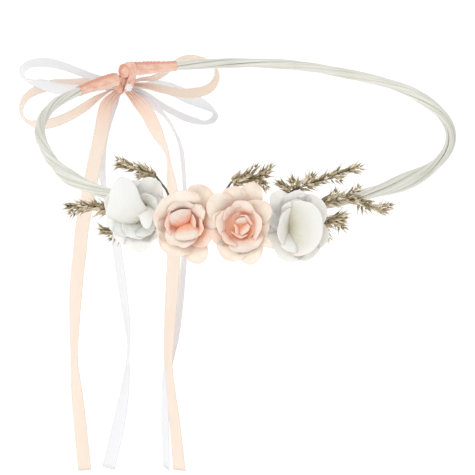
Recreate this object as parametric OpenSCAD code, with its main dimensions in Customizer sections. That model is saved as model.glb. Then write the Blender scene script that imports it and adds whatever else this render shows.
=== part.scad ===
// Flower crown: a twisted raffia ring on a wire core, four fabric roses and seven sprigs of
// dried grass on its front, and a two-colour satin bow with four tails tying its open back.
// +Z is up, -Y is the front, and the origin is the centre of the ring.

/* [Ring] */
// Radius of the ring's centreline
ring_r = 85; // [78:0.5:92]
// Width of one raffia strand
strand_w = 2; // [1.6:0.1:2.1]
// Thickness of one raffia strand
strand_t = 1.2; // [0.8:0.1:1.3]
// Distance of each strand's middle from the wire core's axis
strand_lay_r = 1.5; // [1.4:0.05:1.9]
// Full turns that the strands make around the core
strand_turns = 4.2; // [2:0.1:9]
// Diameter of the wire core
wire_d = 0.9; // [0.6:0.1:1]

/* [Ring ends] */
// Angle of the opening at the back of the ring, from +X
gap_angle = 129.6; // [127:0.2:131]
// Angle that the left ribbon wrap covers
left_wrap_span = 15; // [10:1:20]
// Angle that the right ribbon wrap covers
right_wrap_span = 18; // [10:1:20]
// How far the right end stands above the left one
end_step = 2.6; // [1:0.1:4]

/* [Ribbon] */
// Width of the satin ribbon
ribbon_w = 6; // [4:0.5:7]
// Thickness of the ribbon solids
ribbon_t = 0.8; // [0.4:0.1:1]

/* [Roses] */
// Radius of a rose across its open outer petals
rose_r = 14.5; // [12:0.5:15]
// Depth of a rose from the base of its calyx to its rim
rose_depth = 16.5; // [14:0.5:18]
// Thickness of a petal
petal_t = 0.6; // [0.4:0.1:1]
// Petals in each ring of a rose
petal_count = 5; // [4:1:6]

/* [Grass] */
// Diameter of a grass stem
stem_d = 0.8; // [0.6:0.1:1]
// Length of a husk
husk_l = 4.6; // [3:0.1:5.5]
// Diameter of a husk
husk_d = 1.3; // [0.8:0.1:1.6]

/* [Hidden] */
$fn = 48;
ROSES = ["rose_white_left", "rose_peach_left", "rose_peach_right", "rose_white_right"];
ROSE_PIECES = ["outer_petals", "inner_petals", "heart", "calyx"];
SPRIG_COUNT = 7;
STRAND_COUNT = 4;

PEACH = [0.97, 0.82, 0.74];
WHITE = [0.93, 0.93, 0.94];
IVORY = [0.90, 0.91, 0.87];
STRAW = [0.71, 0.64, 0.46];

// ---- vectors and sweeps ----

function unit(v) = v / norm(v);

// Direction of a path at point i, from its neighbours.
function heading(path, i) =
  unit(path[min(i + 1, len(path) - 1)] - path[max(i - 1, 0)]);

// An eight-sided outline of unit width and unit thickness, for flat strips and thin rods.
OCTAGON = [
  [0.5, -0.21], [0.5, 0.21], [0.21, 0.5], [-0.21, 0.5],
  [-0.5, 0.21], [-0.5, -0.21], [-0.21, -0.5], [0.21, -0.5]
];

// A closed solid through rings of points: each ring has the same number of points.
module skin(rings) {
  sides = len(rings[0]);
  last = len(rings) - 1;
  walls = [
    for (k = [0:last - 1]) for (s = [0:sides - 1])
      let (a = k * sides + s, b = k * sides + (s + 1) % sides)
        each [[a, b, b + sides], [a, b + sides, a + sides]]
  ];
  start_cap = [for (s = [sides - 1:-1:0]) s];
  end_cap = [for (s = [0:sides - 1]) last * sides + s];
  polyhedron([for (r = rings) each r], concat(walls, [start_cap, end_cap]));
}

// A tube wall through matching rings of outer and inner points.
module hollow_skin(outer, inner) {
  sides = len(outer[0]);
  last = len(outer) - 1;
  offset_in = len(outer) * sides;
  outer_walls = [
    for (k = [0:last - 1]) for (s = [0:sides - 1])
      let (a = k * sides + s, b = k * sides + (s + 1) % sides)
        each [[a, b, b + sides], [a, b + sides, a + sides]]
  ];
  inner_walls = [
    for (k = [0:last - 1]) for (s = [0:sides - 1])
      let (a = offset_in + k * sides + s, b = offset_in + k * sides + (s + 1) % sides)
        each [[a, b + sides, b], [a, a + sides, b + sides]]
  ];
  rims = [
    for (s = [0:sides - 1])
      let (t = (s + 1) % sides, e = last * sides)
        each [
          [s, offset_in + s, offset_in + t], [s, offset_in + t, t],
          [e + s, e + t, offset_in + e + t], [e + s, offset_in + e + t, offset_in + e + s]
        ]
  ];
  points = concat([for (r = outer) each r], [for (r = inner) each r]);
  polyhedron(points, concat(outer_walls, inner_walls, rims));
}

// One ring of a flat strip. Its width lies along side, and its thickness across side and ahead.
function strip_ring(centre, side, ahead, width, thickness) =
  let (across = cross(ahead, side))
    [for (p = OCTAGON) centre + side * p.x * width + across * p.y * thickness];

// Width direction of a ribbon: turned by an angle from the plane that faces depth.
function ribbon_side(ahead, depth, turn) =
  let (flat = unit(cross(depth, ahead)), proud = unit(cross(ahead, flat)))
    flat * cos(turn) + proud * sin(turn);

// A ribbon along route points [x, y, z, turn]. Its first and last rings are gathered narrower.
module ribbon(route, depth, gather_start, gather_end) {
  path = [for (p = route) [p.x, p.y, p.z]];
  last = len(path) - 1;
  skin([
    for (i = [0:last])
      let (
        ahead = heading(path, i),
        gather = i == 0 ? gather_start : i == last ? gather_end : 1
      )
        strip_ring(path[i], ribbon_side(ahead, depth, route[i][3]), ahead,
                   ribbon_w * gather, ribbon_t)
  ]);
}

// A thin round rod along a path.
module rod(path, diameter) {
  skin([
    for (i = [0:len(path) - 1])
      let (ahead = heading(path, i), side = unit(cross(ahead, [0.1, 0.2, 1])))
        strip_ring(path[i], side, ahead, diameter, diameter)
  ]);
}

// Turns a child that stands along +Z to point along a direction.
module point_along(direction) {
  rotate([0, acos(direction.z / norm(direction)), atan2(direction.y, direction.x)]) children();
}

// ---- ring ----

RING_STEPS = 72;
END_CLEARANCE = 1;          // angle from the middle of the gap to each end of the ring
RING_START = gap_angle + END_CLEARANCE;
RING_END = gap_angle + 360 - END_CLEARANCE;
END_GRIP = 0.8;             // how much smaller the bundle is under the ribbon wraps
GRIP_SPAN = 16;             // angle over which it narrows
STEP_SPAN = 14;             // angle over which the right end climbs
BEND_SPAN = 13;             // half-width of a hand-made bend in the ring, as an angle

// Hand-made bends, each [angle from +X, how far outward].
BENDS = [[156, 1.5], [193, -1.8], [226, 1.8], [306, -1.6], [399, 0.8], [416, -1.4]];
// Places where the strands spread apart, each [angle from +X, how far].
LOOSE = [[218, 0.9], [318, 1.1], [384, 0.4]];
LOOSE_SPAN = 11;

function bump(a, middle, span) = exp(-pow((a - middle) / span, 2));
function total(list, i = 0) = i < len(list) ? list[i] + total(list, i + 1) : 0;
function ring_bend(a) = total([for (b = BENDS) b[1] * bump(a, b[0], BEND_SPAN)]);
function looseness(a) = total([for (b = LOOSE) b[1] * bump(a, b[0], LOOSE_SPAN)]);
function ring_lift(a) = end_step * bump(a, RING_END, STEP_SPAN);
function ring_point(a) =
  [(ring_r + ring_bend(a)) * cos(a), (ring_r + ring_bend(a)) * sin(a), ring_lift(a)];
function ring_out(a) = [cos(a), sin(a), 0];
function ring_ahead(a) = unit(ring_point(a + 0.5) - ring_point(a - 0.5));
function ring_up(a) = unit(cross(ring_out(a), ring_ahead(a)));
function grip(a) =
  1 - (1 - END_GRIP) * min(1, bump(a, RING_START, GRIP_SPAN) + bump(a, RING_END, GRIP_SPAN));

// Steps along the ring, as angles.
RING_ANGLES = [for (i = [0:RING_STEPS]) RING_START + (RING_END - RING_START) * i / RING_STEPS];

module ring_wire() {
  color("silver")
    skin([
      for (a = RING_ANGLES)
        strip_ring(ring_point(a), ring_out(a), ring_ahead(a), wire_d, wire_d)
    ]);
}

module ring_strand(i) {
  color(IVORY)
    skin([
      for (a = RING_ANGLES)
        let (
          lay = 360 * (i / STRAND_COUNT + strand_turns * (a - RING_START) / 360),
          away = ring_out(a) * cos(lay) + ring_up(a) * sin(lay),
          middle = ring_point(a) + away * (strand_lay_r * grip(a) + looseness(a)),
          side = unit(cross(ring_ahead(a), away))
        )
          strip_ring(middle, side, ring_ahead(a), strand_w * grip(a), strand_t * grip(a))
    ]);
}

// ---- ribbon wraps on the ring's ends ----

WRAP_SIDES = 12;
WRAP_RINGS = 18;
WRAP_BORE_R = 2.2;
WRAP_WALL = 0.5;
RUFFLE = 0.16;              // height of the gathers in a wrap
RUFFLE_TURNS = 5;

function wrap_ring(a, r) =
  [
    for (s = [0:WRAP_SIDES - 1])
      let (t = 360 * s / WRAP_SIDES)
        ring_point(a) + r * (ring_out(a) * cos(t) + ring_up(a) * sin(t))
  ];

module end_wrap(from, to) {
  angles = [for (i = [0:WRAP_RINGS]) from + (to - from) * i / WRAP_RINGS];
  color(PEACH)
    hollow_skin(
      [
        for (i = [0:WRAP_RINGS])
          let (gather = RUFFLE * cos(360 * RUFFLE_TURNS * i / WRAP_RINGS))
            wrap_ring(angles[i], WRAP_BORE_R + WRAP_WALL + gather)
      ],
      [for (a = angles) wrap_ring(a, WRAP_BORE_R)]
    );
}

module end_wrap_left() {
  end_wrap(RING_START + 0.3, RING_START + left_wrap_span);
}

module end_wrap_right() {
  end_wrap(RING_END - right_wrap_span, RING_END - 0.3);
}

// ---- knot ----

KNOT = [-52.2, 72, -6];     // where the bow and its tails are tied
KNOT_R = 2.6;
KNOT_L = 6;
BOW_YAW = 37.7;             // the bow lies along the ring there, turned from +X
BOW_OUT = [-sin(BOW_YAW), cos(BOW_YAW), 0];
BAND_W = 4;
BAND_T = 0.6;
BAND_GAP = 0.3;

// The gathered ribbons inside the knot, a barrel along the bow.
module bow_knot() {
  color(PEACH)
    translate(KNOT) rotate([0, 90, BOW_YAW])
      rotate_extrude()
        polygon([
          [0, -KNOT_L / 2], [1.9, -KNOT_L / 2], [2.4, -KNOT_L / 3], [KNOT_R, -1.2],
          [KNOT_R, 1.2], [2.4, KNOT_L / 3], [1.9, KNOT_L / 2], [0, KNOT_L / 2]
        ]);
}

RING_HOLD = ring_point(RING_END - 3);

// Outline of the tie band, seen along the bow: round the knot and round the ring's end above.
module band_outline(grow) {
  ring_end = [(RING_HOLD - KNOT) * BOW_OUT, RING_HOLD.z - KNOT.z];
  hull() {
    circle(r = KNOT_R + grow, $fn = 32);
    translate(ring_end) circle(r = WRAP_BORE_R + WRAP_WALL + RUFFLE + grow, $fn = 32);
  }
}

// The band that ties the bow to the ring's right end.
module tie_band() {
  color(PEACH)
    translate(KNOT) rotate([90, 0, 90 + BOW_YAW])
      translate([0, 0, -BAND_W / 2]) linear_extrude(BAND_W)
        difference() {
          band_outline(BAND_GAP + BAND_T);
          band_outline(BAND_GAP);
        }
}

WHITE_KNOT_R = 1.3;

// The small knot in the white ribbon, in front of the tie band.
module white_knot() {
  front = KNOT_R + BAND_GAP + BAND_T + WHITE_KNOT_R;
  color(WHITE)
    translate(KNOT + [2.2, -front - 1.1, 1.4]) sphere(r = WHITE_KNOT_R);
}

// ---- ribbon loops and tails, each point [x, y, z, turn] ----

BEHIND = [0, 1, 0];
LOOP_GATHER = 0.5;
TAIL_GATHER = 0.5;

LOOP_WHITE_LEFT = [
  [-57.5, 72, -4, 60], [-61.5, 68.5, -2, 58], [-66, 64, 1, 60], [-71.5, 60, 5, 62],
  [-77.5, 55.5, 9, 63],
  [-83, 51, 12, 65], [-88.7, 46.8, 13.5, 76], [-93, 43.1, 13, 94], [-94.5, 42, 10.4, 104],
  [-91.8, 44, 6.8, 76], [-87.2, 47.4, 4, 45], [-82.5, 51, 1, 28], [-77, 55, -1.5, 22],
  [-71.5, 60, -3.5, 28], [-64.5, 65.5, -5, 42], [-58, 71.5, -6.8, 60]
];
LOOP_PEACH_LEFT = [
  [-57, 76.5, -6, 60], [-61.5, 74, -5, 58], [-68, 70, -4, 58], [-75, 64.5, -2.5, 58],
  [-81, 60, -1, 60],
  [-86, 56, -0.8, 71], [-90.4, 52.8, -1.8, 86], [-94.1, 50, -4, 101], [-95.8, 48.6, -8, 110],
  [-95, 49.2, -12, 98], [-92.2, 51.4, -15, 68], [-88, 54.5, -17.4, 39], [-83.5, 58, -18.2, 24],
  [-78.5, 62, -17.8, 20], [-73.5, 66, -16.5, 18], [-68.5, 70, -14.5, 20], [-63, 74.6, -12, 34],
  [-57.5, 78, -9.5, 60]
];
LOOP_PEACH_RIGHT = [
  [-46, 77, -5, 60], [-41.5, 82, -6, 45], [-37, 86.5, -6.5, 35], [-32, 90.5, -4, 30],
  [-28.5, 93, -2.2, 30], [-24, 96.5, -2.2, 43], [-18.6, 100.8, -4.2, 70], [-14.2, 104, -7.5, 96],
  [-12.1, 105.5, -12, 107], [-13, 104.8, -15.8, 100], [-15.8, 102.6, -18.2, 82], [-20, 99.5, -18.8, 67],
  [-26, 95, -17.8, 62], [-32, 90.5, -15.2, 62], [-38, 85.5, -12, 64], [-45, 77.5, -8.2, 68]
];
LOOP_WHITE_RIGHT = [
  [-46, 82, -8.8, 60], [-41.8, 89.5, -11.5, 42], [-36, 97, -15.5, 28], [-30.3, 102, -19.5, 24],
  [-24.7, 106, -24, 26], [-19.3, 110.1, -28.5, 46], [-14.9, 113.3, -33, 78], [-13, 114.8, -36, 106],
  [-15.7, 112.7, -38, 96], [-20.4, 109.1, -36.3, 75], [-26.7, 104.5, -32.7, 62], [-31.7, 100.5, -28.6, 60],
  [-36.8, 96.5, -24, 60], [-41, 92, -19, 60], [-46.2, 83.5, -12.4, 65]
];
TAIL_PEACH_LEFT = [
  [-57.2, 70.4, -10.4, 0], [-59.6, 69.6, -13.5, 0], [-61.1, 69, -18, 0], [-62.4, 69, -25, 0],
  [-64, 69, -33, 0], [-66, 69, -42, 0], [-69, 69, -57, 0], [-71.7, 69, -71, 5], [-73.2, 69, -84, 10],
  [-75.3, 69, -102, 20], [-76.5, 69, -122, 45], [-76.9, 69, -136, 55], [-76, 69, -153, 30],
  [-74.6, 69, -173, 10], [-73.2, 69, -193, 0]
];
TAIL_WHITE_LEFT = [
  [-56, 73.6, -10.4, 0], [-58, 75, -15, 10], [-60.5, 75, -22, 10], [-62.6, 75, -30, 12],
  [-63.8, 75, -38, 16], [-63.6, 75, -46, 40], [-62.2, 75, -55, 66], [-60, 75, -67, 62],
  [-57.2, 75, -82, 48], [-54.9, 75, -102, 46], [-53, 75, -122, 60], [-52.6, 75, -135, 80],
  [-53.7, 75, -150, 60], [-57, 75, -170, 30], [-62.5, 75, -195, 5]
];
TAIL_PEACH_RIGHT = [
  [-48.4, 70.4, -10.4, 0], [-44.9, 69.6, -14, 0], [-41.7, 69, -18.5, 0], [-39.3, 69, -24, 10],
  [-37, 69, -29.5, 35], [-34.5, 69, -35, 60], [-33, 69, -41, 70], [-31.8, 69, -52, 40],
  [-31.1, 69, -68, 15], [-31.4, 69, -88, 15], [-33, 69, -112, 30], [-34.3, 69, -135, 50],
  [-33.3, 69, -150, 50], [-31.6, 69, -168, 35], [-29.6, 69, -193, 20]
];
TAIL_WHITE_RIGHT = [
  [-48.2, 73.6, -10.4, 0], [-42.5, 75, -14, 30], [-38, 75, -18, 50], [-34, 75, -22.5, 65],
  [-30.9, 75, -28, 70], [-28.8, 75, -33, 70], [-27.4, 75, -40, 70], [-26.4, 75, -56, 75],
  [-26, 75, -73, 75], [-26.7, 75, -88, 70], [-28.8, 75, -109, 60], [-31, 75, -126, 55],
  [-34.4, 75, -142, 55], [-36, 75, -161, 55], [-35.9, 75, -195, 60]
];

module loop_white_left() {
  color(WHITE) ribbon(LOOP_WHITE_LEFT, BOW_OUT, LOOP_GATHER, LOOP_GATHER);
}

module loop_peach_left() {
  color(PEACH) ribbon(LOOP_PEACH_LEFT, BOW_OUT, LOOP_GATHER, LOOP_GATHER);
}

module loop_peach_right() {
  color(PEACH) ribbon(LOOP_PEACH_RIGHT, BOW_OUT, LOOP_GATHER, LOOP_GATHER);
}

module loop_white_right() {
  color(WHITE) ribbon(LOOP_WHITE_RIGHT, BOW_OUT, LOOP_GATHER, LOOP_GATHER);
}

module tail_peach_left() {
  color(PEACH) ribbon(TAIL_PEACH_LEFT, BEHIND, TAIL_GATHER, 1);
}

module tail_white_left() {
  color(WHITE) ribbon(TAIL_WHITE_LEFT, BEHIND, TAIL_GATHER, 1);
}

module tail_peach_right() {
  color(PEACH) ribbon(TAIL_PEACH_RIGHT, BEHIND, TAIL_GATHER, 1);
}

module tail_white_right() {
  color(WHITE) ribbon(TAIL_WHITE_RIGHT, BEHIND, TAIL_GATHER, 1);
}

// ---- roses ----

// Base of each calyx, the way each rose faces, and the nearest angle of the ring, where it is held.
ROSE_BASE = [[-40.3, -79.3, -3.4], [-22.9, -86.3, -5.4], [-1.5, -88.3, -5.3], [20.6, -85.3, -6.6]];
ROSE_FACE = [[-0.1, -0.92, 0.37], [0, -0.92, 0.39], [0, -0.92, 0.39], [0, -0.93, 0.36]];
ROSE_ANGLE = [for (base = ROSE_BASE) 360 + atan2(base.y, base.x)];
// Left and right limits of each rose, where its petals press against the next one's.
ROSE_LIMITS = [[-53, -33.1], [-32.7, -13.2], [-12.8, 9.8], [10.2, 30.6]];
ROSE_COLOURS = [IVORY, PEACH, PEACH, IVORY];
ROSE_TURN = [10, 40, 0, 25];
LIMIT_DEPTH = 60;
SLIT_W = 2;                 // width of the slit between two petals, past the rim

// A petal bowl from an outline [radius, height], with a wall of the petal's thickness.
module bowl(outline) {
  inside = [for (i = [len(outline) - 1:-1:0]) outline[i] + [-petal_t * 0.6, petal_t]];
  rotate_extrude() polygon(concat(outline, inside));
}

// Slits between the petals of one bowl, starting at a radius.
module petal_slits(start_r, turn) {
  for (i = [0:petal_count - 1])
    rotate(turn + 360 * i / petal_count)
      linear_extrude(rose_depth + 5)
        polygon([[start_r, 0], [rose_r + 4, -SLIT_W / 2], [rose_r + 4, SLIT_W / 2]]);
}

// Holds a rose's child shapes in place, between its neighbours.
module rose_place(i) {
  limits = ROSE_LIMITS[i];
  intersection() {
    translate(ROSE_BASE[i]) point_along(ROSE_FACE[i]) rotate(ROSE_TURN[i]) children();
    translate([limits[0], -LIMIT_DEPTH * 2, -LIMIT_DEPTH / 2])
      cube([limits[1] - limits[0], LIMIT_DEPTH, LIMIT_DEPTH]);
  }
}

module outer_petals(i) {
  outline = [
    [2.6, rose_depth * 0.27], [rose_r * 0.36, rose_depth * 0.36], [rose_r * 0.6, rose_depth * 0.5],
    [rose_r * 0.82, rose_depth * 0.69], [rose_r * 0.94, rose_depth * 0.85],
    [rose_r, rose_depth - petal_t]
  ];
  color(ROSE_COLOURS[i])
    rose_place(i)
      difference() {
        bowl(outline);
        petal_slits(rose_r * 0.42, 0);
      }
}

module inner_petals(i) {
  outline = [
    [2, rose_depth * 0.34], [rose_r * 0.3, rose_depth * 0.48], [rose_r * 0.46, rose_depth * 0.65],
    [rose_r * 0.56, rose_depth * 0.83], [rose_r * 0.6, rose_depth]
  ];
  color(ROSE_COLOURS[i])
    rose_place(i)
      difference() {
        bowl(outline);
        petal_slits(rose_r * 0.4, 180 / petal_count);
      }
}

module heart(i) {
  color(ROSE_COLOURS[i] * 0.95)
    rose_place(i)
      rotate_extrude()
        polygon([
          [0, rose_depth * 0.45], [1.4, rose_depth * 0.48], [3.2, rose_depth * 0.62],
          [3.9, rose_depth * 0.78], [3.3, rose_depth * 0.94], [1.6, rose_depth * 1.02],
          [0, rose_depth * 0.94]
        ]);
}

TAPE_R = 3.4;
TAPE_BORE_R = 2.75;
TAPE_L = 8;
CALYX_GAP = 0.05;

// The cup under the petals and the wire stem that the tape binds to the ring.
module calyx(i) {
  hold = ring_point(ROSE_ANGLE[i]);
  to_ring = hold - ROSE_BASE[i];
  color(STRAW)
    union() {
      translate(ROSE_BASE[i]) point_along(ROSE_FACE[i])
        rotate_extrude()
          polygon([
            [0, 0], [1.2, 0], [1.9, 1.6], [2.4, rose_depth * 0.26], [1.7, rose_depth * 0.27],
            [1.5, rose_depth * 0.33], [0, rose_depth * 0.33]
          ]);
      translate(ROSE_BASE[i]) point_along(to_ring)
        cylinder(h = norm(to_ring) - TAPE_R - CALYX_GAP, r = 0.7);
    }
}

module floral_tape(i) {
  a = ROSE_ANGLE[i];
  color([0.80, 0.83, 0.74])
    translate(ring_point(a)) point_along(ring_ahead(a))
      translate([0, 0, -TAPE_L / 2])
        difference() {
          cylinder(h = TAPE_L, r = TAPE_R);
          translate([0, 0, -1]) cylinder(h = TAPE_L + 2, r = TAPE_BORE_R);
        }
}

// ---- dried grass ----

// The points of each sprig's stem, from the ring outwards.
STEMS = [
  [
    [-29, -83, 4.5], [-30.5, -82, 7.5], [-34, -81, 12], [-40, -80, 14.8], [-46, -79, 16.4],
    [-49, -78.5, 15.8]
  ],
  [[-44.5, -78.2, -1], [-50, -78.5, -2], [-55, -79, -2], [-61, -79, -0.8], [-69, -79, -1]],
  [[-42, -79.5, -6], [-45, -80, -9.5], [-49, -80.5, -11.2], [-56, -81, -10]],
  [
    [-8, -85.8, 4.2], [-7.4, -85.5, 8.2], [-5.3, -85.5, 11.6], [-0.5, -85, 12.8], [4.2, -84.5, 13],
    [7.5, -84.5, 15.5]
  ],
  [
    [15.5, -83, 4], [18, -81, 6.2], [23.6, -80, 8.4], [29, -80, 10.2], [36.6, -79.5, 13.2],
    [42, -79.5, 15]
  ],
  [
    [25.5, -86, 0.5], [29, -86, 3.2], [35, -85, 4.2], [41.5, -83, 3.8], [48.5, -80.5, 0],
    [54.5, -78, -3.6]
  ],
  [[25, -85.5, -3.8], [29.5, -85, -4.8], [34.5, -84.5, -4.4], [38, -84, -4.6]]
];
HUSKS_FROM = [2, 1, 1, 1, 1, 1, 1];             // the stem point where each sprig's husks begin
HUSK_COUNTS = [15, 14, 9, 15, 18, 18, 8];
GOLDEN = 137.5;             // angle from each husk to the next round the stem
HUSK_LEAN = 28;             // angle of a husk away from its stem
HUSK_GAP = 0.2;             // the unseen stalk between a stem and a husk

module grass_stem(i) {
  color([0.36, 0.31, 0.24]) rod(STEMS[i], stem_d);
}

// A pointed husk that stands on the origin along +Z.
module husk() {
  rotate_extrude($fn = 16)
    polygon([
      [0, 0], [husk_d * 0.3, husk_l * 0.1], [husk_d / 2, husk_l * 0.38],
      [husk_d * 0.42, husk_l * 0.62], [husk_d * 0.14, husk_l * 0.9], [0, husk_l]
    ]);
}

// The point at a share u, from 0 to 1, of a path from point first on.
function along(path, first, u) =
  let (
    x = first + u * (len(path) - 1 - first),
    k = min(floor(x), len(path) - 2)
  )
    path[k] + (path[k + 1] - path[k]) * (x - k);

module grass_husks(i) {
  path = STEMS[i];
  first = HUSKS_FROM[i];
  count = HUSK_COUNTS[i];
  color(STRAW)
    for (h = [0:count - 1])
      let (
        u = h / count,
        here = along(path, first, u),
        ahead = unit(along(path, first, u + 1 / count) - here),
        side = unit(cross(ahead, [0.1, 0.2, 1])),
        round_side = side * cos(GOLDEN * h) + cross(ahead, side) * sin(GOLDEN * h)
      )
        translate(here + round_side * (stem_d / 2 + HUSK_GAP))
          point_along(ahead * cos(HUSK_LEAN) + round_side * sin(HUSK_LEAN))
            husk();
}

// ---- nodes ----

ring_wire();
for (i = [1:STRAND_COUNT])
  ring_strand(i - 1);
end_wrap_left();
end_wrap_right();
tie_band();
bow_knot();
white_knot();
loop_white_left();
loop_peach_left();
loop_peach_right();
loop_white_right();
tail_peach_left();
tail_white_left();
tail_peach_right();
tail_white_right();
for (i = [0:len(ROSES) - 1]) {
  outer_petals(i);
  inner_petals(i);
  heart(i);
  calyx(i);
  floral_tape(i);
}
for (i = [1:SPRIG_COUNT]) {
  grass_stem(i - 1);
  grass_husks(i - 1);
}
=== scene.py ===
"""A flower crown: twisted raffia ring, fabric roses, dried grass and a two-colour satin bow."""

import math
import random

import bmesh
import bpy
from mathutils import Matrix, Vector


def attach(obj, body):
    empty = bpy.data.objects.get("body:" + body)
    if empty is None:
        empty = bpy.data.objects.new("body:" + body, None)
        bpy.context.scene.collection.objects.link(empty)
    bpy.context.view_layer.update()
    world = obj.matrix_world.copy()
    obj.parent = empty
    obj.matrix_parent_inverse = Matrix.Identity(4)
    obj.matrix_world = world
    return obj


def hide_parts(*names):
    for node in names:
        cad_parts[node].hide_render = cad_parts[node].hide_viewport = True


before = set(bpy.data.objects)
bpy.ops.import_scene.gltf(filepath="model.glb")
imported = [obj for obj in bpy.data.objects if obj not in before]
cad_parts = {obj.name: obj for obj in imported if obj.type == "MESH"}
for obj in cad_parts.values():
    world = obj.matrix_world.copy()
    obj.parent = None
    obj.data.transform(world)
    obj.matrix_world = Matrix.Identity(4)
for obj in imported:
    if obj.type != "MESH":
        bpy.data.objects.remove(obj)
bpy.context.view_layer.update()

bl_info = {
    "name": "Flower Crown",
    "version": (1, 0, 0),
    "blender": (4, 5, 0),
    "location": "View3D > Sidebar > Crown",
    "description": "Finishes a flower crown: raffia ring, fabric roses, dried grass and satin bow",
    "category": "Add Mesh",
}

MM = 0.001
UP = Vector((0, 0, 1))


# ---- settings ----


class RibbonSettings(bpy.types.PropertyGroup):
    width: bpy.props.FloatProperty(
        name="Width", description="Width of the satin ribbon", default=0.006, unit="LENGTH")
    thickness: bpy.props.FloatProperty(
        name="Thickness", description="Thickness of the satin ribbon", default=0.00025, unit="LENGTH")
    peach: bpy.props.FloatVectorProperty(
        name="Peach", description="Colour of the peach ribbon", subtype="COLOR", size=3,
        default=(0.925, 0.765, 0.645))
    white: bpy.props.FloatVectorProperty(
        name="White", description="Colour of the white ribbon", subtype="COLOR", size=3,
        default=(0.885, 0.885, 0.90))
    # Besides the gathered wraps, a tint of this colour is the peach ribbons' painted shade near the
    # knot.
    gathered: bpy.props.FloatVectorProperty(
        name="Gathered peach", description="Colour of the peach ribbon where it is gathered",
        subtype="COLOR", size=3, default=(0.85, 0.475, 0.36))


class RaffiaSettings(bpy.types.PropertyGroup):
    width: bpy.props.FloatProperty(
        name="Strand width", description="Width of one paper raffia strand", default=0.0029,
        unit="LENGTH")
    thickness: bpy.props.FloatProperty(
        name="Strand thickness", description="Thickness of one folded strand", default=0.0017,
        unit="LENGTH")
    lay: bpy.props.FloatProperty(
        name="Lay", description="Distance of each strand from the ring's middle line",
        default=0.00125, unit="LENGTH")
    colour: bpy.props.FloatVectorProperty(
        name="Raffia", description="Colour of the raffia", subtype="COLOR", size=3,
        default=(0.765, 0.762, 0.712))


class RoseSettings(bpy.types.PropertyGroup):
    petal: bpy.props.FloatProperty(
        name="Petal thickness", description="Thickness of one cut petal", default=0.0004,
        unit="LENGTH")
    # A tint of this colour is also the painted shade deep in a peach rose.
    coral: bpy.props.FloatVectorProperty(
        name="Coral", description="Colour deep inside a peach rose", subtype="COLOR", size=3,
        default=(0.95, 0.40, 0.20))
    cream: bpy.props.FloatVectorProperty(
        name="Cream", description="Colour of a peach rose's petals", subtype="COLOR", size=3,
        default=(0.97, 0.85, 0.705))
    blush: bpy.props.FloatVectorProperty(
        name="Blush", description="Colour of a peach rose's rims", subtype="COLOR", size=3,
        default=(0.95, 0.62, 0.54))
    ivory: bpy.props.FloatVectorProperty(
        name="Ivory", description="Colour of a white rose's petals", subtype="COLOR", size=3,
        default=(0.875, 0.872, 0.83))


class GrassSettings(bpy.types.PropertyGroup):
    husk: bpy.props.FloatProperty(
        name="Husk length", description="Length of one husk without its awn", default=0.0037,
        unit="LENGTH")
    straw: bpy.props.FloatVectorProperty(
        name="Straw", description="Colour of the pale husks", subtype="COLOR", size=3,
        default=(0.74, 0.61, 0.40))
    olive: bpy.props.FloatVectorProperty(
        name="Olive", description="Colour of the dark husks", subtype="COLOR", size=3,
        default=(0.20, 0.16, 0.06))


class StageSettings(bpy.types.PropertyGroup):
    floor: bpy.props.FloatVectorProperty(
        name="Floor", description="Colour of the floor", subtype="COLOR", size=3,
        default=(0.95, 0.95, 0.95))
    sky: bpy.props.FloatProperty(
        name="Sky", description="Strength of the even light", default=0.845)
    key: bpy.props.FloatProperty(
        name="Key light", description="Strength of the soft main light", default=4.5, unit="POWER")


SETTINGS = {
    "crown_ribbon": RibbonSettings,
    "crown_raffia": RaffiaSettings,
    "crown_rose": RoseSettings,
    "crown_grass": GrassSettings,
    "crown_stage": StageSettings,
}


# ---- small helpers ----


def deselect():
    if bpy.context.object and bpy.context.object.mode != "OBJECT":
        bpy.ops.object.mode_set(mode="OBJECT")
    bpy.ops.object.select_all(action="DESELECT")


def pick(piece):
    deselect()
    piece.select_set(True)
    bpy.context.view_layer.objects.active = piece


def smooth_step(x, low, high):
    t = min(1.0, max(0.0, (x - low) / (high - low)))
    return t * t * (3 - 2 * t)


def bump_at(x, middle, span):
    return math.exp(-(((x - middle) / span) ** 2))


def grid(name, across, along, place):
    """A grid whose corners are put where place(u, v) says, with u and v from 0 to 1."""
    deselect()
    bpy.ops.mesh.primitive_grid_add(x_subdivisions=across, y_subdivisions=along, size=2)
    piece = bpy.context.object
    piece.name = name
    piece.data.name = name
    for vertex in piece.data.vertices:
        vertex.co = place((vertex.co.x + 1) / 2, (vertex.co.y + 1) / 2)
    return piece


def weld(piece):
    """Merges the points that lie on each other, and turns the faces outward."""
    pick(piece)
    bpy.ops.object.mode_set(mode="EDIT")
    bpy.ops.mesh.select_all(action="SELECT")
    bpy.ops.mesh.remove_doubles(threshold=1e-6)
    bpy.ops.mesh.normals_make_consistent(inside=False)
    bpy.ops.object.mode_set(mode="OBJECT")


def tube(name, around, along, place):
    """A closed tube from a grid: u runs round it, v along it, and its ends are drawn shut.
    place(u, v) gives the skin, and place(None, v) the middle of the tube."""
    def closed(u, v):
        row = round(v * (along + 2)) - 1
        if 0 <= row <= along:
            return place(u, row / along)
        return place(None, min(1, max(0, row)))

    piece = grid(name, around, along + 2, closed)
    weld(piece)
    return piece


def scale_uv(piece, across, along):
    for item in piece.data.uv_layers.active.data:
        item.uv = (item.uv[0] * across, item.uv[1] * along)


def thicken(piece, thickness, levels=1):
    """Gives a sheet its wall and rounds it, with both modifiers applied."""
    pick(piece)
    wall = piece.modifiers.new("wall", "SOLIDIFY")
    wall.thickness = thickness
    wall.offset = 0.0
    wall.use_even_offset = False
    bpy.ops.object.modifier_apply(modifier=wall.name)
    if levels:
        rounding = piece.modifiers.new("rounding", "SUBSURF")
        rounding.levels = rounding.render_levels = levels
        bpy.ops.object.modifier_apply(modifier=rounding.name)
    bpy.ops.object.shade_smooth()


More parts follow.
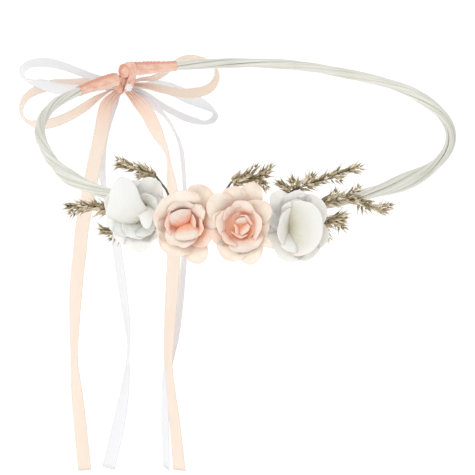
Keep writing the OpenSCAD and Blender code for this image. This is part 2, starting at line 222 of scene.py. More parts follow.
def mark(piece, name, value):
    """Paints one grey value over a piece, for its material to read."""
    layer = piece.data.attributes.new(name, "FLOAT", "POINT")
    layer.data.foreach_set("value", [value] * len(piece.data.vertices))


def join(pieces, name):
    deselect()
    for piece in pieces:
        piece.select_set(True)
    bpy.context.view_layer.objects.active = pieces[0]
    if len(pieces) > 1:
        bpy.ops.object.join()
    pieces[0].name = name
    pieces[0].data.name = name
    return pieces[0]


def dress(piece, material):
    piece.data.materials.clear()
    piece.data.materials.append(material)


def fit_out(piece, material, node, body="crown"):
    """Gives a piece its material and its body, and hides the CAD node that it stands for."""
    dress(piece, material)
    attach(piece, body)
    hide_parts(node)


def tint(colour, *factors):
    """A colour with each channel multiplied, and none above 1."""
    return [min(1, c * k) for c, k in zip(colour, factors)]


def blend(first, second, share):
    return [a * (1 - share) + b * share for a, b in zip(first, second)]


def spline(points, steps):
    """Points of a smooth curve through rows of numbers, by Catmull-Rom."""
    rows = [list(p) for p in points]
    result = []
    for i in range(len(rows) - 1):
        before, here = rows[max(i - 1, 0)], rows[i]
        after, later = rows[i + 1], rows[min(i + 2, len(rows) - 1)]
        for k in range(steps):
            t = k / steps
            result.append([
                0.5 * (2 * b + (c - a) * t + (2 * a - 5 * b + 4 * c - d) * t * t
                       + (3 * b - a - 3 * c + d) * t ** 3)
                for a, b, c, d in zip(before, here, after, later)
            ])
    result.append(rows[-1])
    return result


def lengths(path):
    total = [0.0]
    for a, b in zip(path, path[1:]):
        total.append(total[-1] + (b - a).length)
    return total


# ---- materials ----


class Shader:
    """Builds one procedural material, node by node."""

    def __init__(self, name):
        self.material = bpy.data.materials.new(name)
        self.material.use_nodes = True
        self.tree = self.material.node_tree
        self.surface = self.tree.nodes["Principled BSDF"]

    def node(self, kind, inputs=None, **settings):
        node = self.tree.nodes.new(kind)
        for key, value in settings.items():
            setattr(node, key, value)
        for key, value in (inputs or {}).items():
            if isinstance(value, bpy.types.NodeSocket):
                self.tree.links.new(value, node.inputs[key])
            else:
                node.inputs[key].default_value = value
        return node

    def set(self, **values):
        names = {"base": "Base Color", "roughness": "Roughness", "sheen": "Sheen Weight",
                 "sheen_rough": "Sheen Roughness", "specular": "Specular IOR Level",
                 "metallic": "Metallic", "normal": "Normal", "scatter": "Subsurface Weight",
                 "scatter_scale": "Subsurface Scale", "scatter_radius": "Subsurface Radius",
                 "aniso": "Anisotropic"}
        for key, value in values.items():
            socket = self.surface.inputs[names[key]]
            if isinstance(value, bpy.types.NodeSocket):
                self.tree.links.new(value, socket)
            else:
                socket.default_value = value

    def math(self, operation, a, b=0.0, clamp=False):
        return self.node("ShaderNodeMath", {0: a, 1: b}, operation=operation,
                         use_clamp=clamp).outputs[0]

    def mix(self, share, a, b):
        node = self.node("ShaderNodeMix", data_type="RGBA", blend_type="MIX")
        for socket, value in (("Factor_Float", share), ("A_Color", a), ("B_Color", b)):
            target = next(s for s in node.inputs if s.identifier == socket)
            if isinstance(value, bpy.types.NodeSocket):
                self.tree.links.new(value, target)
            elif socket == "Factor_Float":
                target.default_value = value
            else:
                target.default_value = (*value[:3], 1)
        return next(s for s in node.outputs if s.identifier == "Result_Color")

    def ramp(self, share, stops):
        node = self.node("ShaderNodeValToRGB", {"Fac": share})
        marks = node.color_ramp.elements
        while len(marks) < len(stops):
            marks.new(0.5)
        for stop, (place, colour) in zip(marks, stops):
            stop.position = place
            stop.color = (*colour[:3], 1)
        return node.outputs["Color"]

    def smooth_range(self, value, low, high, to_low=0.0, to_high=1.0):
        return self.node(
            "ShaderNodeMapRange",
            {"Value": value, "From Min": low, "From Max": high, "To Min": to_low, "To Max": to_high},
            interpolation_type="SMOOTHSTEP").outputs["Result"]

    def coords(self, source, scale):
        texture = self.node("ShaderNodeTexCoord")
        mapping = self.node("ShaderNodeMapping", {"Vector": texture.outputs[source], "Scale": scale})
        return mapping.outputs["Vector"]

    def uv(self):
        texture = self.node("ShaderNodeTexCoord")
        split = self.node("ShaderNodeSeparateXYZ", {"Vector": texture.outputs["UV"]})
        return split.outputs["X"], split.outputs["Y"]

    def attribute(self, name):
        return self.node("ShaderNodeAttribute", attribute_name=name).outputs["Fac"]

    def noise(self, vector, scale, detail=3.0, roughness=0.55):
        return self.node("ShaderNodeTexNoise", {
            "Vector": vector, "Scale": scale, "Detail": detail, "Roughness": roughness,
        }).outputs["Fac"]

    def speckle(self, scale, detail=3.0, roughness=0.55):
        """Noise through the object's own space."""
        return self.noise(self.coords("Object", (1, 1, 1)), scale, detail, roughness)

    def streaks(self, stretch, detail=3.0, roughness=0.55):
        """Noise over the surface, stretched so that it runs along it."""
        return self.noise(self.coords("UV", stretch), 1.0, detail, roughness)

    def bumps(self, height, strength, distance):
        return self.node("ShaderNodeBump", {
            "Height": height, "Strength": strength, "Distance": distance}).outputs["Normal"]


def satin(name, colour, shade, root_shade, shine):
    """Satin ribbon: fine lengthwise threads, faint cross ribs and a woven edge. UVs in cm.
    A point attribute mixes in painted shade towards the gathered root near the knot."""
    s = Shader(name)
    across, _ = s.uv()
    threads = s.node("ShaderNodeTexWave", {
        "Vector": s.coords("UV", (1, 0.12, 1)), "Scale": 34.0, "Distortion": 1.2, "Detail": 2.0,
    }, bands_direction="X").outputs["Fac"]
    ribs = s.node("ShaderNodeTexWave", {
        "Vector": s.coords("UV", (0.15, 1, 1)), "Scale": 22.0, "Distortion": 0.8,
    }, bands_direction="Y").outputs["Fac"]
    drift = s.noise(s.coords("UV", (1.5, 0.5, 1)), 1.1, 2.0)
    streaks = s.streaks((16, 0.35, 1), 3.0)
    edge = s.math("ABSOLUTE", s.math("SUBTRACT", across, 0.3))
    border = s.smooth_range(edge, 0.245, 0.29)
    tone = s.mix(s.smooth_range(drift, 0.3, 0.75, 0.0, 0.55), colour, shade)
    tone = s.mix(s.smooth_range(streaks, 0.35, 0.8, 0.0, 0.35), tone, shade)
    tone = s.mix(s.math("MULTIPLY", border, 0.4), tone, shade)
    # Painted shade near the knot, broken up a little by the streaks.
    deep_shade = s.math("MULTIPLY", s.attribute("fold_and_painted_shade"), s.smooth_range(streaks, 0.1, 0.9, 1.0, 0.6))
    tone = s.mix(deep_shade, tone, root_shade)
    height = s.math("ADD", s.math("MULTIPLY", threads, 0.6), s.math("MULTIPLY", ribs, 0.4))
    height = s.math("ADD", height, s.math("MULTIPLY", border, 1.5))
    rough = s.smooth_range(streaks, 0.2, 0.8, shine, shine + 0.12)
    s.set(base=tone, roughness=rough, sheen=0.25, sheen_rough=0.4, specular=0.45, aniso=0.5,
          scatter=0.3, scatter_scale=0.0012, scatter_radius=(1.0, 0.9, 0.85),
          normal=s.bumps(height, 0.35, 0.00006))
    return s.material


def gathered_satin(name, colour, shade):
    """Satin pulled into tight gathers, with painted shade in the low parts of its creases and where a
    point attribute asks for it. UVs in cm.
    """
    s = Shader(name)
    creases = s.streaks((5.5, 1.3, 1), 3.0)
    drift = s.speckle(260.0, 3.0)
    fine = s.streaks((3, 24, 1), 3.0)
    fold_and_painted_shade = s.attribute("fold_and_painted_shade")
    # Painted shade in the creases' low parts, where the bumps are low too.
    tone = s.mix(s.smooth_range(creases, 0.3, 0.6, 0.55, 0.0), colour, shade)
    tone = s.mix(s.smooth_range(drift, 0.4, 0.7, 0.0, 0.35), tone, shade)
    # Painted shade from a point attribute: on the wraps' upper side, and a little over the band and the
    # knot.
    tone = s.mix(s.math("MULTIPLY", fold_and_painted_shade, 0.9, clamp=True), tone, shade)
    height = s.math("ADD", creases, s.math("MULTIPLY", fine, 0.2))
    s.set(base=tone, roughness=s.smooth_range(fine, 0.2, 0.8, 0.34, 0.5), sheen=0.3,
          sheen_rough=0.4, specular=0.4, normal=s.bumps(height, 0.5, 0.0004))
    return s.material


def raffia(name, colour):
    """Paper raffia: long creases and fibre streaks, with painted grey-green shade in the creases' low
    parts, paler colour on their ridges, painted shade in the fibre grooves and on the strands' inner
    faces. UVs in cm.
    """
    s = Shader(name)
    creases = s.streaks((9, 0.22, 1), 4.0, 0.6)
    fibres = s.streaks((46, 0.9, 1), 4.0, 0.7)
    drift = s.speckle(60.0, 2.0)
    # The grey-green and the darkest tint are colours of painted shade.
    green = tint(colour, 0.83, 0.835, 0.775)
    deep_shade = tint(colour, 0.64, 0.635, 0.55)
    pale = tint(colour, 1.10, 1.09, 1.08)
    # Painted grey-green shade in the creases' low parts, paler colour on their ridges.
    tone = s.mix(s.smooth_range(creases, 0.35, 0.62), green, pale)
    # Painted shade in the fibre grooves.
    tone = s.mix(s.smooth_range(fibres, 0.30, 0.48, 0.45, 0.0), tone, deep_shade)
    tone = s.mix(s.smooth_range(drift, 0.35, 0.7, 0.0, 0.35), tone, colour)
    # Painted shade on the strands' faces that turn in towards the ring's core.
    tone = s.mix(s.math("MULTIPLY", s.attribute("fold_and_painted_shade"), 0.75), tone, deep_shade)
    height = s.math("ADD", creases, s.math("MULTIPLY", fibres, 0.35))
    s.set(base=tone, roughness=s.smooth_range(fibres, 0.3, 0.7, 0.62, 0.82), sheen=0.1,
          specular=0.3, normal=s.bumps(height, 0.6, 0.0003))
    return s.material


def petal_paint(name, stops, depth_shade, rim, vein):
    """Cut fabric petal: colour runs from its base to its rim, with veins, blotches and a rim.
    The attribute warmth shifts it towards its base colours, partly painted shade, and the attribute
    depth adds painted shade."""
    s = Shader(name)
    across, along = s.uv()
    side = s.math("ABSOLUTE", s.math("SUBTRACT", across, 0.5))
    blotch = s.speckle(190.0, 3.0)
    fine = s.speckle(1900.0, 3.0, 0.65)
    fan = s.streaks((17, 1.6, 1), 3.0, 0.6)
    wander = s.math("MULTIPLY", s.math("SUBTRACT", blotch, 0.5), 0.5)
    reach = s.math("ADD", along, wander)
    # Warmth shifts the petal towards its base colours, partly its own coral and partly painted shade
    # inside the rose.
    reach = s.math("SUBTRACT", reach, s.math("MULTIPLY", s.attribute("warmth_and_shade"), 0.45))
    tone = s.ramp(reach, stops)
    outer = s.math("MAXIMUM", s.smooth_range(side, 0.36, 0.5), s.smooth_range(along, 0.86, 1.0))
    touched = s.math("MULTIPLY", outer, s.smooth_range(blotch, 0.34, 0.6))
    tone = s.mix(s.math("MULTIPLY", touched, 0.75), tone, rim)
    tone = s.mix(s.smooth_range(fan, 0.42, 0.72, 0.0, 0.4), tone, vein)
    # Painted shade deep in the rose: coral in a peach rose, beige in a white one.
    tone = s.mix(s.math("MULTIPLY", s.attribute("depth"), 0.85), tone, depth_shade)
    height = s.math("ADD", s.math("MULTIPLY", fan, 1.0), s.math("MULTIPLY", fine, 0.35))
    s.set(base=tone, roughness=s.smooth_range(fine, 0.3, 0.7, 0.58, 0.72), sheen=0.35,
          sheen_rough=0.5, specular=0.25, scatter=0.35, scatter_scale=0.003,
          scatter_radius=(1.0, 0.75, 0.6), normal=s.bumps(height, 0.4, 0.00022))
    return s.material


def husk_paint(name, straw, olive):
    """Dried husk: dark at its foot, streaked, with a pale tip. The attribute age varies it."""
    s = Shader(name)
    _, along = s.uv()
    streak = s.streaks((26, 1.2, 1), 3.0, 0.6)
    patch = s.speckle(520.0, 2.0)
    pale = tint(straw, 1.28, 1.38, 1.62)
    rust = (0.33, 0.20, 0.14)
    tone = s.ramp(along, [(0.0, olive), (0.28, [c * 0.75 for c in straw]), (0.6, straw), (0.95, pale)])
    tone = s.mix(s.smooth_range(streak, 0.42, 0.62, 0.0, 0.75), tone, olive)
    tone = s.mix(s.smooth_range(s.attribute("age"), 0.5, 0.9, 0.0, 0.85), tone, pale)
    tone = s.mix(s.smooth_range(s.attribute("age"), 0.08, 0.36, 0.8, 0.0), tone, olive)
    tone = s.mix(s.smooth_range(patch, 0.5, 0.7, 0.0, 0.6), tone, rust)
    s.set(base=tone, roughness=s.smooth_range(streak, 0.3, 0.7, 0.5, 0.75), specular=0.3,
          sheen=0.1, normal=s.bumps(streak, 0.6, 0.00015))
    return s.material


def stem_paint(name):
    s = Shader(name)
    streak = s.speckle(900.0, 4.0, 0.6)
    patch = s.speckle(150.0, 2.0)
    tone = s.mix(s.smooth_range(streak, 0.3, 0.7), (0.052, 0.045, 0.036), (0.20, 0.165, 0.11))
    tone = s.mix(s.smooth_range(patch, 0.5, 0.7, 0.0, 0.5), tone, (0.16, 0.16, 0.10))
    s.set(base=tone, roughness=s.smooth_range(streak, 0.3, 0.7, 0.55, 0.8), specular=0.3,
          normal=s.bumps(streak, 0.6, 0.0002))
    return s.material


def calyx_paint(name):
    s = Shader(name)
    streak = s.speckle(700.0, 3.0, 0.6)
    patch = s.speckle(180.0, 2.0)
    tone = s.mix(s.smooth_range(patch, 0.35, 0.65), (0.20, 0.27, 0.10), (0.42, 0.45, 0.24))
    tone = s.mix(s.smooth_range(streak, 0.45, 0.7, 0.0, 0.5), tone, (0.12, 0.17, 0.06))
    s.set(base=tone, roughness=s.smooth_range(streak, 0.3, 0.7, 0.42, 0.6), specular=0.4,
          normal=s.bumps(streak, 0.5, 0.0002))
    return s.material


def tape_paint(name):
    """Waxed crepe tape: fine cross wrinkles. UVs in cm."""
    s = Shader(name)
    wrinkle = s.streaks((3, 60, 1), 4.0, 0.65)
    patch = s.speckle(240.0, 2.0)
    tone = s.mix(s.smooth_range(wrinkle, 0.3, 0.7), (0.52, 0.56, 0.44), (0.70, 0.73, 0.62))
    tone = s.mix(s.smooth_range(patch, 0.5, 0.75, 0.0, 0.4), tone, (0.45, 0.52, 0.34))
    s.set(base=tone, roughness=s.smooth_range(wrinkle, 0.3, 0.7, 0.5, 0.7), specular=0.35,
          normal=s.bumps(wrinkle, 0.7, 0.0002))
    return s.material


def wire_paint(name):
    s = Shader(name)
    draw = s.speckle(1600.0, 3.0)
    tone = s.mix(s.smooth_range(draw, 0.3, 0.7), (0.52, 0.53, 0.54), (0.68, 0.68, 0.67))
    s.set(base=tone, metallic=1.0, roughness=s.smooth_range(draw, 0.3, 0.7, 0.28, 0.42),
          normal=s.bumps(draw, 0.3, 0.00005))
    return s.material


# ---- the ring's middle line ----

GAP = 129.6
RING_START = GAP + 1
RING_END = GAP + 359
RING_RADIUS = 85
BEND_SPAN = 13
BENDS = ((156, 1.5), (193, -1.8), (226, 1.8), (306, -1.6), (399, 0.8), (416, -1.4))
LOOSE_SPAN = 11
LOOSE = ((218, 0.9), (318, 1.35), (384, 0.4))
END_STEP = 2.6
STEP_SPAN = 14


def ring_point(angle):
    radius = RING_RADIUS + sum(b * bump_at(angle, a, BEND_SPAN) for a, b in BENDS)
    turn = math.radians(angle)
    lift = END_STEP * bump_at(angle, RING_END, STEP_SPAN)
    return Vector((radius * math.cos(turn), radius * math.sin(turn), lift)) * MM


def ring_axes(angle):
    """Outward, upward and forward directions of the ring at an angle."""
    turn = math.radians(angle)
    out = Vector((math.cos(turn), math.sin(turn), 0))
    ahead = (ring_point(angle + 0.5) - ring_point(angle - 0.5)).normalized()
    up = out.cross(ahead).normalized()
    return out, up, ahead


def looseness(angle):
    return sum(b * bump_at(angle, a, LOOSE_SPAN) for a, b in LOOSE) * MM


def ring_grip(angle):
    near = min(1, bump_at(angle, RING_START, 16) + bump_at(angle, RING_END, 16))
    return 1 - 0.2 * near


# ---- ribbon routes, each point [x, y, z, turn] in mm and degrees ----

KNOT = Vector((-52.2, 72, -6))
BOW_YAW = math.radians(37.7)
BOW_OUT = Vector((-math.sin(BOW_YAW), math.cos(BOW_YAW), 0))
BOW_ALONG = Vector((math.cos(BOW_YAW), math.sin(BOW_YAW), 0))
BEHIND = Vector((0, 1, 0))

ROUTES = {
    "loop_white_left": [
        [-57.5, 72, -4, 60], [-61.5, 68.5, -2, 58], [-66, 64, 1, 60], [-71.5, 60, 5, 62],
        [-77.5, 55.5, 9, 63], [-83, 51, 12, 65], [-88.7, 46.8, 13.5, 76], [-93, 43.1, 13, 94],
        [-94.5, 42, 10.4, 104], [-91.8, 44, 6.8, 76], [-87.2, 47.4, 4, 45], [-82.5, 51, 1, 28],
        [-77, 55, -1.5, 22], [-71.5, 60, -3.5, 28], [-64.5, 65.5, -5, 42], [-58, 71.5, -6.8, 60],
    ],
    "loop_peach_left": [
        [-57, 76.5, -6, 60], [-61.5, 74, -5, 58], [-68, 70, -4, 58], [-75, 64.5, -2.5, 58],
        [-81, 60, -1, 60], [-86, 56, -0.8, 71], [-90.4, 52.8, -1.8, 86], [-94.1, 50, -4, 101],
        [-95.8, 48.6, -8, 110], [-95, 49.2, -12, 98], [-92.2, 51.4, -15, 68], [-88, 54.5, -17.4, 39],
        [-83.5, 58, -18.2, 24], [-78.5, 62, -17.8, 20], [-73.5, 66, -16.5, 18],
        [-68.5, 70, -14.5, 20], [-63, 74.6, -12, 34], [-57.5, 78, -9.5, 60],
    ],
    "loop_peach_right": [
        [-46, 77, -5, 60], [-41.5, 82, -6, 45], [-37, 86.5, -6.5, 35], [-32, 90.5, -4, 30],
        [-28.5, 93, -2.2, 30], [-24, 96.5, -2.2, 43], [-18.6, 100.8, -4.2, 70],
        [-14.2, 104, -7.5, 96], [-12.1, 105.5, -12, 107], [-13, 104.8, -15.8, 100],
        [-15.8, 102.6, -18.2, 82], [-20, 99.5, -18.8, 67], [-26, 95, -17.8, 62],
        [-32, 90.5, -15.2, 62], [-38, 85.5, -12, 64], [-45, 77.5, -8.2, 68],
    ],
    "loop_white_right": [
        [-46, 82, -8.8, 60], [-41.8, 89.5, -11.5, 42], [-36, 97, -15.5, 28],
        [-30.3, 102, -19.5, 24], [-24.7, 106, -24, 26], [-19.3, 110.1, -28.5, 46],
        [-14.9, 113.3, -33, 78], [-13, 114.8, -36, 106], [-15.7, 112.7, -38, 96],
        [-20.4, 109.1, -36.3, 75], [-26.7, 104.5, -32.7, 62], [-31.7, 100.5, -28.6, 60],
        [-36.8, 96.5, -24, 60], [-41, 92, -19, 60], [-46.2, 83.5, -12.4, 65],
    ],
    "tail_peach_left": [
        [-57.2, 70.4, -10.4, 0], [-59.6, 69.6, -13.5, 0], [-61.1, 69, -18, 0], [-62.4, 69, -25, 0],
        [-64, 69, -33, 0], [-66, 69, -42, 0], [-69, 69, -57, 0], [-71.7, 69, -71, 5],
        [-73.2, 69, -84, 10], [-75.3, 69, -102, 20], [-76.5, 69, -122, 45],
        [-76.9, 69, -136, 55], [-76, 69, -153, 30], [-74.6, 69, -173, 10], [-73.2, 69, -193, 0],
    ],
    "tail_white_left": [
        [-56, 73.6, -10.4, 0], [-58, 75, -15, 10], [-60.5, 75, -22, 10], [-62.6, 75, -30, 12],
        [-63.8, 75, -38, 16], [-63.6, 75, -46, 40], [-62.2, 75, -55, 66], [-60, 75, -67, 62],
        [-57.2, 75, -82, 48], [-54.9, 75, -102, 46], [-53, 75, -122, 60], [-52.6, 75, -135, 80],
        [-53.7, 75, -150, 60], [-57, 75, -170, 30], [-62.5, 75, -195, 5],
    ],
    "tail_peach_right": [
        [-48.4, 70.4, -10.4, 0], [-44.9, 69.6, -14, 0], [-41.7, 69, -18.5, 0],
        [-39.3, 69, -24, 10], [-37, 69, -29.5, 35], [-34.5, 69, -35, 60], [-33, 69, -41, 70],
        [-31.8, 69, -52, 40], [-31.1, 69, -68, 15], [-31.4, 69, -88, 15], [-33, 69, -112, 30],
        [-34.3, 69, -135, 50], [-33.3, 69, -150, 50], [-31.6, 69, -168, 35],
        [-29.6, 69, -193, 20],
    ],
    "tail_white_right": [
        [-48.2, 73.6, -10.4, 0], [-42.5, 75, -14, 30], [-38, 75, -18, 50], [-34, 75, -22.5, 65],
        [-30.9, 75, -28, 70], [-28.8, 75, -33, 70], [-27.4, 75, -40, 70], [-26.4, 75, -56, 75],
        [-26, 75, -73, 75], [-26.7, 75, -88, 70], [-28.8, 75, -109, 60], [-31, 75, -126, 55],
        [-34.4, 75, -142, 55], [-36, 75, -161, 55], [-35.9, 75, -195, 60],
    ],
}
ROUTE_STEPS = 6
PLEATED = 8 * MM  # how far the pleats run from a gathered end


def into_knot(root):
    """A route point between a ribbon's root and the middle of the knot."""
    here = Vector(root[:3])
    return [*(here + (KNOT - here) * 0.6), root[3]]


def make_ribbon(name, settings, material):
    loop = name.startswith("loop")
    depth = BOW_OUT if loop else BEHIND
    route = [list(row) for row in ROUTES[name]]
    route.insert(0, into_knot(route[0]))
    if loop:
        route.append(into_knot(route[-1]))
    rows = spline(route, ROUTE_STEPS)
    path = [Vector(row[:3]) * MM for row in rows]
    turns = [math.radians(row[3]) for row in rows]
    run = lengths(path)
    last = len(path) - 1
    sections = []
    for i, centre in enumerate(path):
        ahead = (path[min(i + 1, last)] - path[max(i - 1, 0)]).normalized()
        flat = depth.cross(ahead).normalized()
        proud = ahead.cross(flat).normalized()
        side = flat * math.cos(turns[i]) + proud * math.sin(turns[i])
        from_end = min(run[i], run[-1] - run[i]) if loop else run[i]
        if loop:
            gather = 0.42 + 0.58 * smooth_step(from_end, 0.3 * PLEATED, 2.2 * PLEATED)
        else:
            gather = 0.6 + 0.4 * smooth_step(from_end, 0.2 * PLEATED, 1.2 * PLEATED)
        pleat = 1 - smooth_step(from_end, 0.5 * PLEATED, 1.9 * PLEATED)
        sections.append((centre, side, ahead.cross(side), gather, pleat))

    def place(u, v):
        centre, side, face, gather, pleat = sections[round(v * last)]
        s = 2 * u - 1
        curl = 0.22 * MM * (s * s - 0.4) * (1 - pleat)
        fold_and_painted_shade = 0.55 * MM * math.cos(3 * math.pi * s) * pleat
        return centre + side * (s * settings.width / 2 * gather) + face * (curl + fold_and_painted_shade)

    piece = grid(name + "_satin", 12, last, place)
    # Painted shade on the ribbon near the knot: full within 5 mm of it, gone by 30 mm.
    root_shade = piece.data.attributes.new("fold_and_painted_shade", "FLOAT", "POINT").data
    for vertex, item in zip(piece.data.vertices, root_shade):
        away = (vertex.co - KNOT * MM).length
        item.value = 1 - smooth_step(away, 5 * MM, 30 * MM)
    scale_uv(piece, settings.width * 100, run[-1] * 100)
    thicken(piece, settings.thickness, levels=0)
    fit_out(piece, material, name, body=name)


# ---- raffia strands ----

STRANDS = 4
STRAND_TURNS = 4.2
STRAND_STEPS = 420
STRAND_SIDES = 14
STRAND_END = RING_END - 2.2


def make_ply(number, ply, settings):
    """One of the two plies of a folded strand."""
    rng = random.Random(40 + number * 2 + ply)
    waves = [(rng.uniform(3, 11), rng.uniform(0, 6.28), rng.uniform(0.3, 1)) for _ in range(5)]
    creases = [(rng.randint(2, 4), rng.uniform(0, 6.28), rng.uniform(-14, 14)) for _ in range(3)]
    beside = 1 if ply else -1

    def wander(v, k):
        return sum(math.sin(f * 6.28 * v + p + k * 2.1) * s for f, p, s in waves) / 3

    def place(u, v):
        angle = RING_START + (STRAND_END - RING_START) * v
        out, up, ahead = ring_axes(angle)
        lay = 2 * math.pi * (number / STRANDS + STRAND_TURNS * (angle - RING_START) / 360)
        lay += 0.14 * wander(v, 0)
        away = out * math.cos(lay) + up * math.sin(lay)
        grip = ring_grip(angle)
        loose = looseness(angle)
        side = ahead.cross(away).normalized()
        width = settings.width * 0.56 * grip * (1 + 0.14 * wander(v, 1)) + loose * 0.9
        thick = settings.thickness * grip * (1 + 0.16 * wander(v, 2)) - loose * 0.35
        middle = ring_point(angle) + away * (settings.lay * grip + loose * 0.8)
        middle += side * beside * (width * 0.44)
        middle -= away * 0.14 * MM
        if u is None:
            return middle
        t = 2 * math.pi * u
        groove = sum(
            (0.5 + 0.5 * math.cos(n * t + p + w * v)) ** 3 for n, p, w in creases) / 3
        swell = 1 - 0.24 * groove
        c, s = math.cos(t), math.sin(t)
        x = math.copysign(abs(c) ** 0.9, c) * width / 2 * swell
        y = math.copysign(abs(s) ** 0.9, s) * thick / 2 * swell
        return middle + side * x + away * y

    return tube(f"ply_{number}_{ply}", STRAND_SIDES, STRAND_STEPS, place)


def make_strand(number, settings, material):
    plies = [make_ply(number, ply, settings) for ply in (0, 1)]
    piece = join(plies, f"raffia_strand_{number + 1}")
    scale_uv(piece, 0.45, 53)
    # Painted shade on each strand's faces that turn in towards the ring's core, where the strands lie
    # on one another.
    mark(piece, "fold_and_painted_shade", 0.0)
    layer = piece.data.attributes["fold_and_painted_shade"].data
    for vertex, item in zip(piece.data.vertices, layer):
        angle = math.degrees(math.atan2(vertex.co.y, vertex.co.x))
        angle = angle if angle > RING_START else angle + 360
        away = (vertex.co - ring_point(angle)).length
        inner = settings.lay * ring_grip(angle) + looseness(angle) * 0.8
        item.value = 1 - smooth_step(away, inner * 0.75, inner * 1.35)
    bpy.ops.object.shade_smooth()
    fit_out(piece, material, f"ring_strand_{number + 1}")


# ---- wraps, band and knots ----

WRAP_SIDES = 40
WRAP_RINGS = 110
WRAP_SPANS = (15, 18)  # degrees of the ring that the left and the right wrap cover


def make_wrap(name, start, end, fat_at_end, material):
    """Ribbon wound and gathered along the ring's end, with a ruffled ridge along its top."""
    rng = random.Random(len(name) * 7)
    ripples = [(rng.uniform(10, 26), rng.uniform(0, 6.28)) for _ in range(4)]

    def ripple(v, k):
        return sum(math.sin(f * v + p + k) for f, p in ripples) / 4

    def place(u, v):
        angle = start + (end - start) * v
        out, up, ahead = ring_axes(angle)
        gap_side = v if fat_at_end else 1 - v
        if u is None:
            domed = 0.9 * MM * (gap_side > 0.5)
            return ring_point(angle) + ahead * (domed if v > 0.5 else -domed)
        t = 2 * math.pi * u
        away = out * math.cos(t) + up * math.sin(t)
        fat = smooth_step(gap_side, 0.0, 0.8)
        radius = 2.12 + 0.50 * fat
        radius += 0.16 * ((v * 5.0 + u + 0.1 * ripple(v, 3)) % 1.0) * (0.4 + fat)
        radius += 0.13 * math.sin(3 * t + 5 * v + 1.5 * ripple(v, 2)) * fat
        radius += 0.05 * math.sin(2 * math.pi * (v * 7 + 0.9 * math.sin(t + 1) + ripple(v, 4)))
        top = max(0.0, math.cos(t - math.pi / 2 - 0.25)) ** 8
        ruffle = 0.30 + 0.42 * ripple(v * 4.3, 1) + 0.2 * math.sin(90 * v)
        radius += top * ruffle * (0.5 + 0.5 * fat)
        front = max(0.0, math.cos(t - 1.28 * math.pi - 0.4 * ripple(v, 2))) ** 5
        radius += 0.45 * front * fat
        radius *= math.sqrt(max(0.1, 1 - smooth_step(gap_side, 0.93, 1.02) ** 2))
        return ring_point(angle) + away * radius * MM

    piece = tube(name + "_satin", WRAP_SIDES, WRAP_RINGS, place)
    scale_uv(piece, 1.7, 2.6)
    # Painted shade on the wrap's upper side, where its ruffled ridge stands.
    mark(piece, "fold_and_painted_shade", 0.0)
    for vertex, item in zip(piece.data.vertices, piece.data.attributes["fold_and_painted_shade"].data):
        angle = math.degrees(math.atan2(vertex.co.y, vertex.co.x))
        angle = angle if angle > GAP else angle + 360
        _, up, _ = ring_axes(angle)
        lean = (vertex.co - ring_point(angle)).normalized().dot(up)
        item.value = smooth_step(lean, 0.62, 0.95)
    bpy.ops.object.shade_smooth()
    fit_out(piece, material, name)


BAND_SIDES = 56
BAND_ACROSS = 22


def make_tie_band(material):
    """The pleated band of ribbon round the bow's middle and the ring's right end."""
    hold = ring_point(RING_END - 3) / MM
    upper = Vector(((hold - KNOT).dot(BOW_OUT), hold.z - KNOT.z))
    low_r, high_r = 2.55, 2.85
    reach = upper.length
    tilt = math.atan2(upper.y, upper.x)
    spread = math.acos((low_r - high_r) / reach)

    def outline(share):
        """A point and an outward direction of the band's outline, for a share of its way."""
        arc_high = 2 * spread * high_r
        arc_low = (2 * math.pi - 2 * spread) * low_r
        flat = math.sqrt(reach ** 2 - (high_r - low_r) ** 2)
        way = share * (arc_high + arc_low + 2 * flat)
        if way < arc_high:
            turn = tilt - spread + way / high_r
            return upper + high_r * Vector((math.cos(turn), math.sin(turn))), turn
        way -= arc_high
        if way < flat:
            turn = tilt + spread
            here = Vector((math.cos(turn), math.sin(turn)))
            return upper.lerp(Vector((0, 0)), way / flat) + here * (
                high_r + (low_r - high_r) * way / flat), turn
        way -= flat
        if way < arc_low:
            turn = tilt + spread + way / low_r
            return low_r * Vector((math.cos(turn), math.sin(turn))), turn
        way -= arc_low
        turn = tilt - spread
        here = Vector((math.cos(turn), math.sin(turn)))
        return Vector((0, 0)).lerp(upper, way / flat) + here * (
            low_r + (high_r - low_r) * way / flat), turn

    def place(u, v):
        point, turn = outline(u % 1.0)
        s = 2 * v - 1
        pleat = 0.16 * math.cos(4.5 * math.pi * v + 0.8 * math.sin(4 * math.pi * u))
        crown = 0.30 * (1 - s * s)
        grow = 0.10 + pleat + crown
        flat = point + Vector((math.cos(turn), math.sin(turn))) * grow
        wide = 2.2 + 0.16 * math.sin(6 * math.pi * u)
        return (KNOT + BOW_OUT * flat.x + UP * flat.y + BOW_ALONG * (s * wide)) * MM

    piece = grid("tie_band_satin", BAND_SIDES, BAND_ACROSS, place)
    weld(piece)
    scale_uv(piece, 2.4, 0.4)
    # A little painted shade over the whole band.
    mark(piece, "fold_and_painted_shade", 0.15)
    thicken(piece, 0.35 * MM, levels=1)
    fit_out(piece, material, "tie_band")


